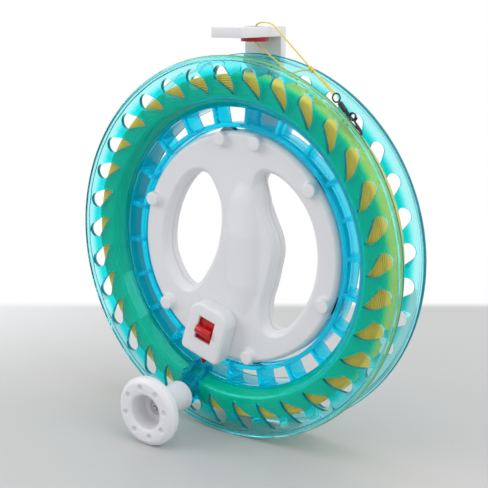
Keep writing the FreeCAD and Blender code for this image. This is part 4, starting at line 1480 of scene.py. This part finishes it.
@dataclass
class FreeLine:
    """The free stretch of line, its second strand and its knot."""

    palette: Palette
    trees: RepeatTrees
    radius: float = 0.5
    route: Sequence[Place] = field(default=(
        (64.6, 1.5, 99.6),
        (8.4, 6.55, 136.15),
        (3.2, 7.0, 139.6),
        (7.2, 7.0, 150.6),
        (19.6, 6.6, 149.8),
        (24.2, 6.17, 145.8),
        (69.0, 2.0, 106.9),
    ))
    tail: Sequence[Place] = field(default=(
        (69.6, 3.4, 107.4),
        (53.6, 4.4, 121.0),
        (45.6, 4.8, 121.4),
        (37.5, 3.4, 118.9),
    ))

    def build(self) -> None:
        knot = self.knot()
        line = route_curve("free_kite_line", self.route, self.radius)
        tail = route_curve("knotted_line_tail", self.tail, self.radius)
        for piece, node in ((line, "free_line"), (tail, "line_tail"), (knot, "line_knot")):
            self.palette.install(piece, Slot.LINE, Body.HANDLE.value, node)

    def knot(self) -> bpy.types.Object:
        """A tied knot: one strand wound three times round the line.

        Returns:
            The knot.
        """
        centre = Vector((52.0, 3.58, 121.6))
        way = Vector((49.4, -4.6, -42.9)).normalized()
        side = way.orthogonal().normalized()
        other = way.cross(side)
        turns, steps, length = 3.0, 14, 3.4
        places = []
        count = int(turns * steps)
        for step in range(count + 1):
            angle = 2 * math.pi * step / steps
            along = (step / count - 0.5) * length
            spread = 0.95 + 0.25 * math.sin(3.1 * step / count * math.pi)
            offset = (side * math.cos(angle) + other * math.sin(angle)) * spread
            places.append((centre + way * along + offset) * MM)
        return self.trees.wire("line_knot_tied", places, self.radius, self.palette.materials[Slot.LINE])


@dataclass
class LineEnd:
    """Swivel and snap hook on the end of the line."""

    palette: Palette
    trees: RepeatTrees
    ring: Place = (71.0, 2.0, 105.0)
    slope: float = 49.5

    def build(self) -> None:
        """Make and dress the hardware."""
        for name, node, body in (
                ("swivel_eye", "swivel_ring", Body.HANDLE),
                ("swivel_barrel_black", "swivel_barrel", Body.LINE_END),
                ("snap_hook_black", "snap_hook", Body.LINE_END)):
            piece = refined_copy(name, [node], 0.0, 50.0)
            if node == "snap_hook":
                piece = joined(name, [piece, self.wrapped_wire(), self.spring_loops()])
                finish_mesh(piece, 50.0)
            self.palette.install(piece, Slot.BLACK, body.value, node)

    def along(self, reach: float, side: float = 0.0, front: float = 0.0) -> Vector:
        """A place beside the line end's axis.

        Args:
            reach: Distance from the middle of the ring in mm.
            side: Distance to the upper right in mm.
            front: Distance to the rear in mm.

        Returns:
            The place in metres.
        """
        turn = math.radians(self.slope)
        way = Vector((math.cos(turn), 0.0, -math.sin(turn)))
        over = Vector((math.sin(turn), 0.0, math.cos(turn)))
        return (Vector(self.ring) + way * reach + over * side + Vector((0.0, front, 0.0))) * MM

    def wrapped_wire(self) -> bpy.types.Object:
        """Close wraps of wire round the neck of the snap hook.

        Returns:
            The wraps.
        """
        places = [self.along(10.6 + 0.085 * step, 1.15 * math.cos(step * 0.6), 1.15 * math.sin(step * 0.6))
                  for step in range(52)]
        return self.trees.wire("hook_wraps", places, 0.36, self.palette.materials[Slot.BLACK])

    def spring_loops(self) -> bpy.types.Object:
        """The two open loops of the snap hook's spring end.

        Returns:
            The loops.
        """
        black = self.palette.materials[Slot.BLACK]
        reach, middle, loop = 15.4, 1.9, 2.3
        places = [self.along(reach + loop * math.sin(step * 0.35) + 0.03 * step,
                             middle - loop * math.cos(step * 0.35), -0.7 + 0.035 * step)
                  for step in range(44)]
        loops = self.trees.wire("hook_loops", places, 0.4, black)
        corners = [(16.0, -1.5, 0.7), (19.0, -1.3, 0.8), (24.0, -0.4, 0.6), (27.6, 0.2, 0.2),
                   (24.0, 0.7, -0.6), (18.0, 1.6, -0.8)]
        latch = smooth_path([self.along(*corner) / MM for corner in corners], 8)
        wire = self.trees.wire("hook_latch", [place * MM for place in latch], 0.5, black)
        return joined("hook_spring", [loops, wire])


@dataclass
class Studio:
    """Floor, light and camera."""

    azimuth: float = 35.09
    elevation: float = 13.35
    camera_place: Place = (0.38926, -0.5508, 0.16242)
    lens: float = 74.98
    floor_height: float = -0.130
    table_depth: float = 0.302
    table_tone: Colour = (0.545, 0.545, 0.545)
    # Lighter table colour of a painted pool of light.
    painted_light_tone: Colour = (0.80, 0.805, 0.82)

    def build(self) -> None:
        """Make the stage."""
        self.camera()
        self.floor()
        self.world()
        self.lamp("top_softbox", (0.25, 0.15, 1.3), (0.0, 0.0, 0.0), 1.3, 5.6)
        self.lamp("left_softbox", (-1.0, -0.9, 0.7), (0.0, 0.0, 0.0), 0.9, 5.8)
        self.lamp("right_softbox", (1.2, -0.2, 0.7), (0.0, 0.0, 0.0), 0.8, 4.4)

    def camera(self) -> None:
        """Camera at the photograph's angle."""
        data = bpy.data.cameras.new("camera")
        data.sensor_width = 36.0
        data.lens = self.lens
        data.clip_start = 0.01
        camera = new_object("camera", data)
        turn, rise = math.radians(self.azimuth), math.radians(self.elevation)
        back = Vector((math.sin(turn) * math.cos(rise), -math.cos(turn) * math.cos(rise), math.sin(rise)))
        camera.location = self.camera_place
        camera.rotation_mode = "QUATERNION"
        camera.rotation_quaternion = (-back).to_track_quat("-Z", "Y")
        bpy.context.scene.camera = camera
        bpy.context.scene.view_settings.view_transform = "Standard"

    def floor(self) -> None:
        """A pale table top that turns into a white backdrop behind the object, with a painted pool of light
        towards the back left.
        """
        reach = 4.0
        corners = [Vector((x, y, self.floor_height)) for x, y in
                   ((-reach, -reach), (reach, -reach), (reach, reach), (-reach, reach))]
        floor = mesh_object("table_top", corners, [(0, 1, 2, 3)])
        material, sheet, shader, output = start_material("pale_table")
        shader.inputs["Roughness"].default_value = 0.42
        shader.inputs["Specular IOR Level"].default_value = 0.35
        place = sheet.add("ShaderNodeTexCoord")
        ahead = sheet.add("ShaderNodeVectorMath", operation="DOT_PRODUCT")
        turn = math.radians(self.azimuth)
        ahead.inputs[1].default_value = (-math.sin(turn), math.cos(turn), 0.0)
        sheet.link(place.outputs["Object"], ahead.inputs[0])
        beyond = self.ramp(sheet, ahead, self.table_depth - 0.02, self.table_depth + 0.006)
        # Painted pool of light: the table's colour turns lighter towards the back left of the view.
        beside = sheet.add("ShaderNodeVectorMath", operation="DOT_PRODUCT")
        beside.inputs[1].default_value = (-math.cos(turn), -math.sin(turn), 0.0)
        sheet.link(place.outputs["Object"], beside.inputs[0])
        painted_light_side = self.ramp(sheet, beside, -0.05, 0.30)
        far = self.ramp(sheet, ahead, 0.02, self.table_depth)
        corner = sheet.math("MULTIPLY", painted_light_side.outputs["Result"], far.outputs["Result"])
        tone = sheet.add("ShaderNodeMix", data_type="RGBA")
        tone.inputs[6].default_value = (*self.table_tone, 1)
        tone.inputs[7].default_value = (*self.painted_light_tone, 1)
        sheet.link(corner, tone.inputs[0])
        sheet.link(tone.outputs[2], shader.inputs["Base Color"])
        white = sheet.add("ShaderNodeEmission", Color=(1, 1, 1, 1), Strength=1.0)
        mix = sheet.add("ShaderNodeMixShader")
        sheet.link(beyond.outputs["Result"], mix.inputs[0])
        sheet.link(shader.outputs[0], mix.inputs[1])
        sheet.link(white.outputs[0], mix.inputs[2])
        sheet.link(mix.outputs[0], output.inputs["Surface"])
        floor.data.materials.append(material)

    @staticmethod
    def ramp(sheet: NodeSheet, source: bpy.types.Node, low: float, high: float) -> bpy.types.Node:
        """A smooth step over a distance on the floor.

        Args:
            sheet: Sheet of the material.
            source: Node that measures the distance.
            low: Where the step starts, in metres.
            high: Where it ends.

        Returns:
            The ramp.
        """
        step = sheet.add("ShaderNodeMapRange", interpolation_type="SMOOTHSTEP")
        step.inputs["From Min"].default_value = low
        step.inputs["From Max"].default_value = high
        sheet.link(source.outputs["Value"], step.inputs["Value"])
        return step

    @staticmethod
    def world() -> None:
        """White surroundings: full white to the camera, softer as a light."""
        world = bpy.data.worlds.new("studio")
        bpy.context.scene.world = world
        world.use_nodes = True
        world.node_tree.nodes.clear()
        sheet = NodeSheet(world.node_tree)
        rays = sheet.add("ShaderNodeLightPath")
        seen = sheet.math("MAXIMUM", rays.outputs["Is Camera Ray"], rays.outputs["Is Glossy Ray"])
        seen = sheet.math("MAXIMUM", seen, rays.outputs["Is Transmission Ray"])
        strength = sheet.math("ADD", sheet.math("MULTIPLY", seen, 0.30), 0.70)
        light = sheet.add("ShaderNodeBackground", Color=(1.0, 1.0, 1.0, 1))
        output = sheet.add("ShaderNodeOutputWorld")
        sheet.link(strength, light.inputs["Strength"])
        sheet.link(light.outputs[0], output.inputs[0])

    @staticmethod
    def lamp(name: str, place: Place, target: Place, size: float, power: float) -> None:
        """A square soft lamp.

        Args:
            name: Name of the lamp.
            place: Its place in metres.
            target: What it faces.
            size: Its side in metres.
            power: Its power in watts.
        """
        data = bpy.data.lights.new(name, "AREA")
        data.size = size
        data.energy = power
        lamp = new_object(name, data)
        lamp.location = place
        lamp.rotation_mode = "QUATERNION"
        lamp.rotation_quaternion = (Vector(target) - Vector(place)).to_track_quat("-Z", "Y")


def main() -> None:
    """Build all sub-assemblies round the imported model."""
    logging.basicConfig(level=logging.INFO, format="%(message)s")
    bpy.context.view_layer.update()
    Studio().build()
    palette = Palette()
    trees = RepeatTrees()
    LineEnd(palette, trees).build()
    FreeLine(palette, trees).build()
    Wheel(palette, trees).build()
    LinePack(palette, trees).build()
    Hub(palette).build()
    Fasteners(palette, trees).build()
    Rollers(palette).build()
    Lock(palette).build()
    Knob(palette).build()
    Guide(palette).build()


if __name__ == "__main__":
    main()
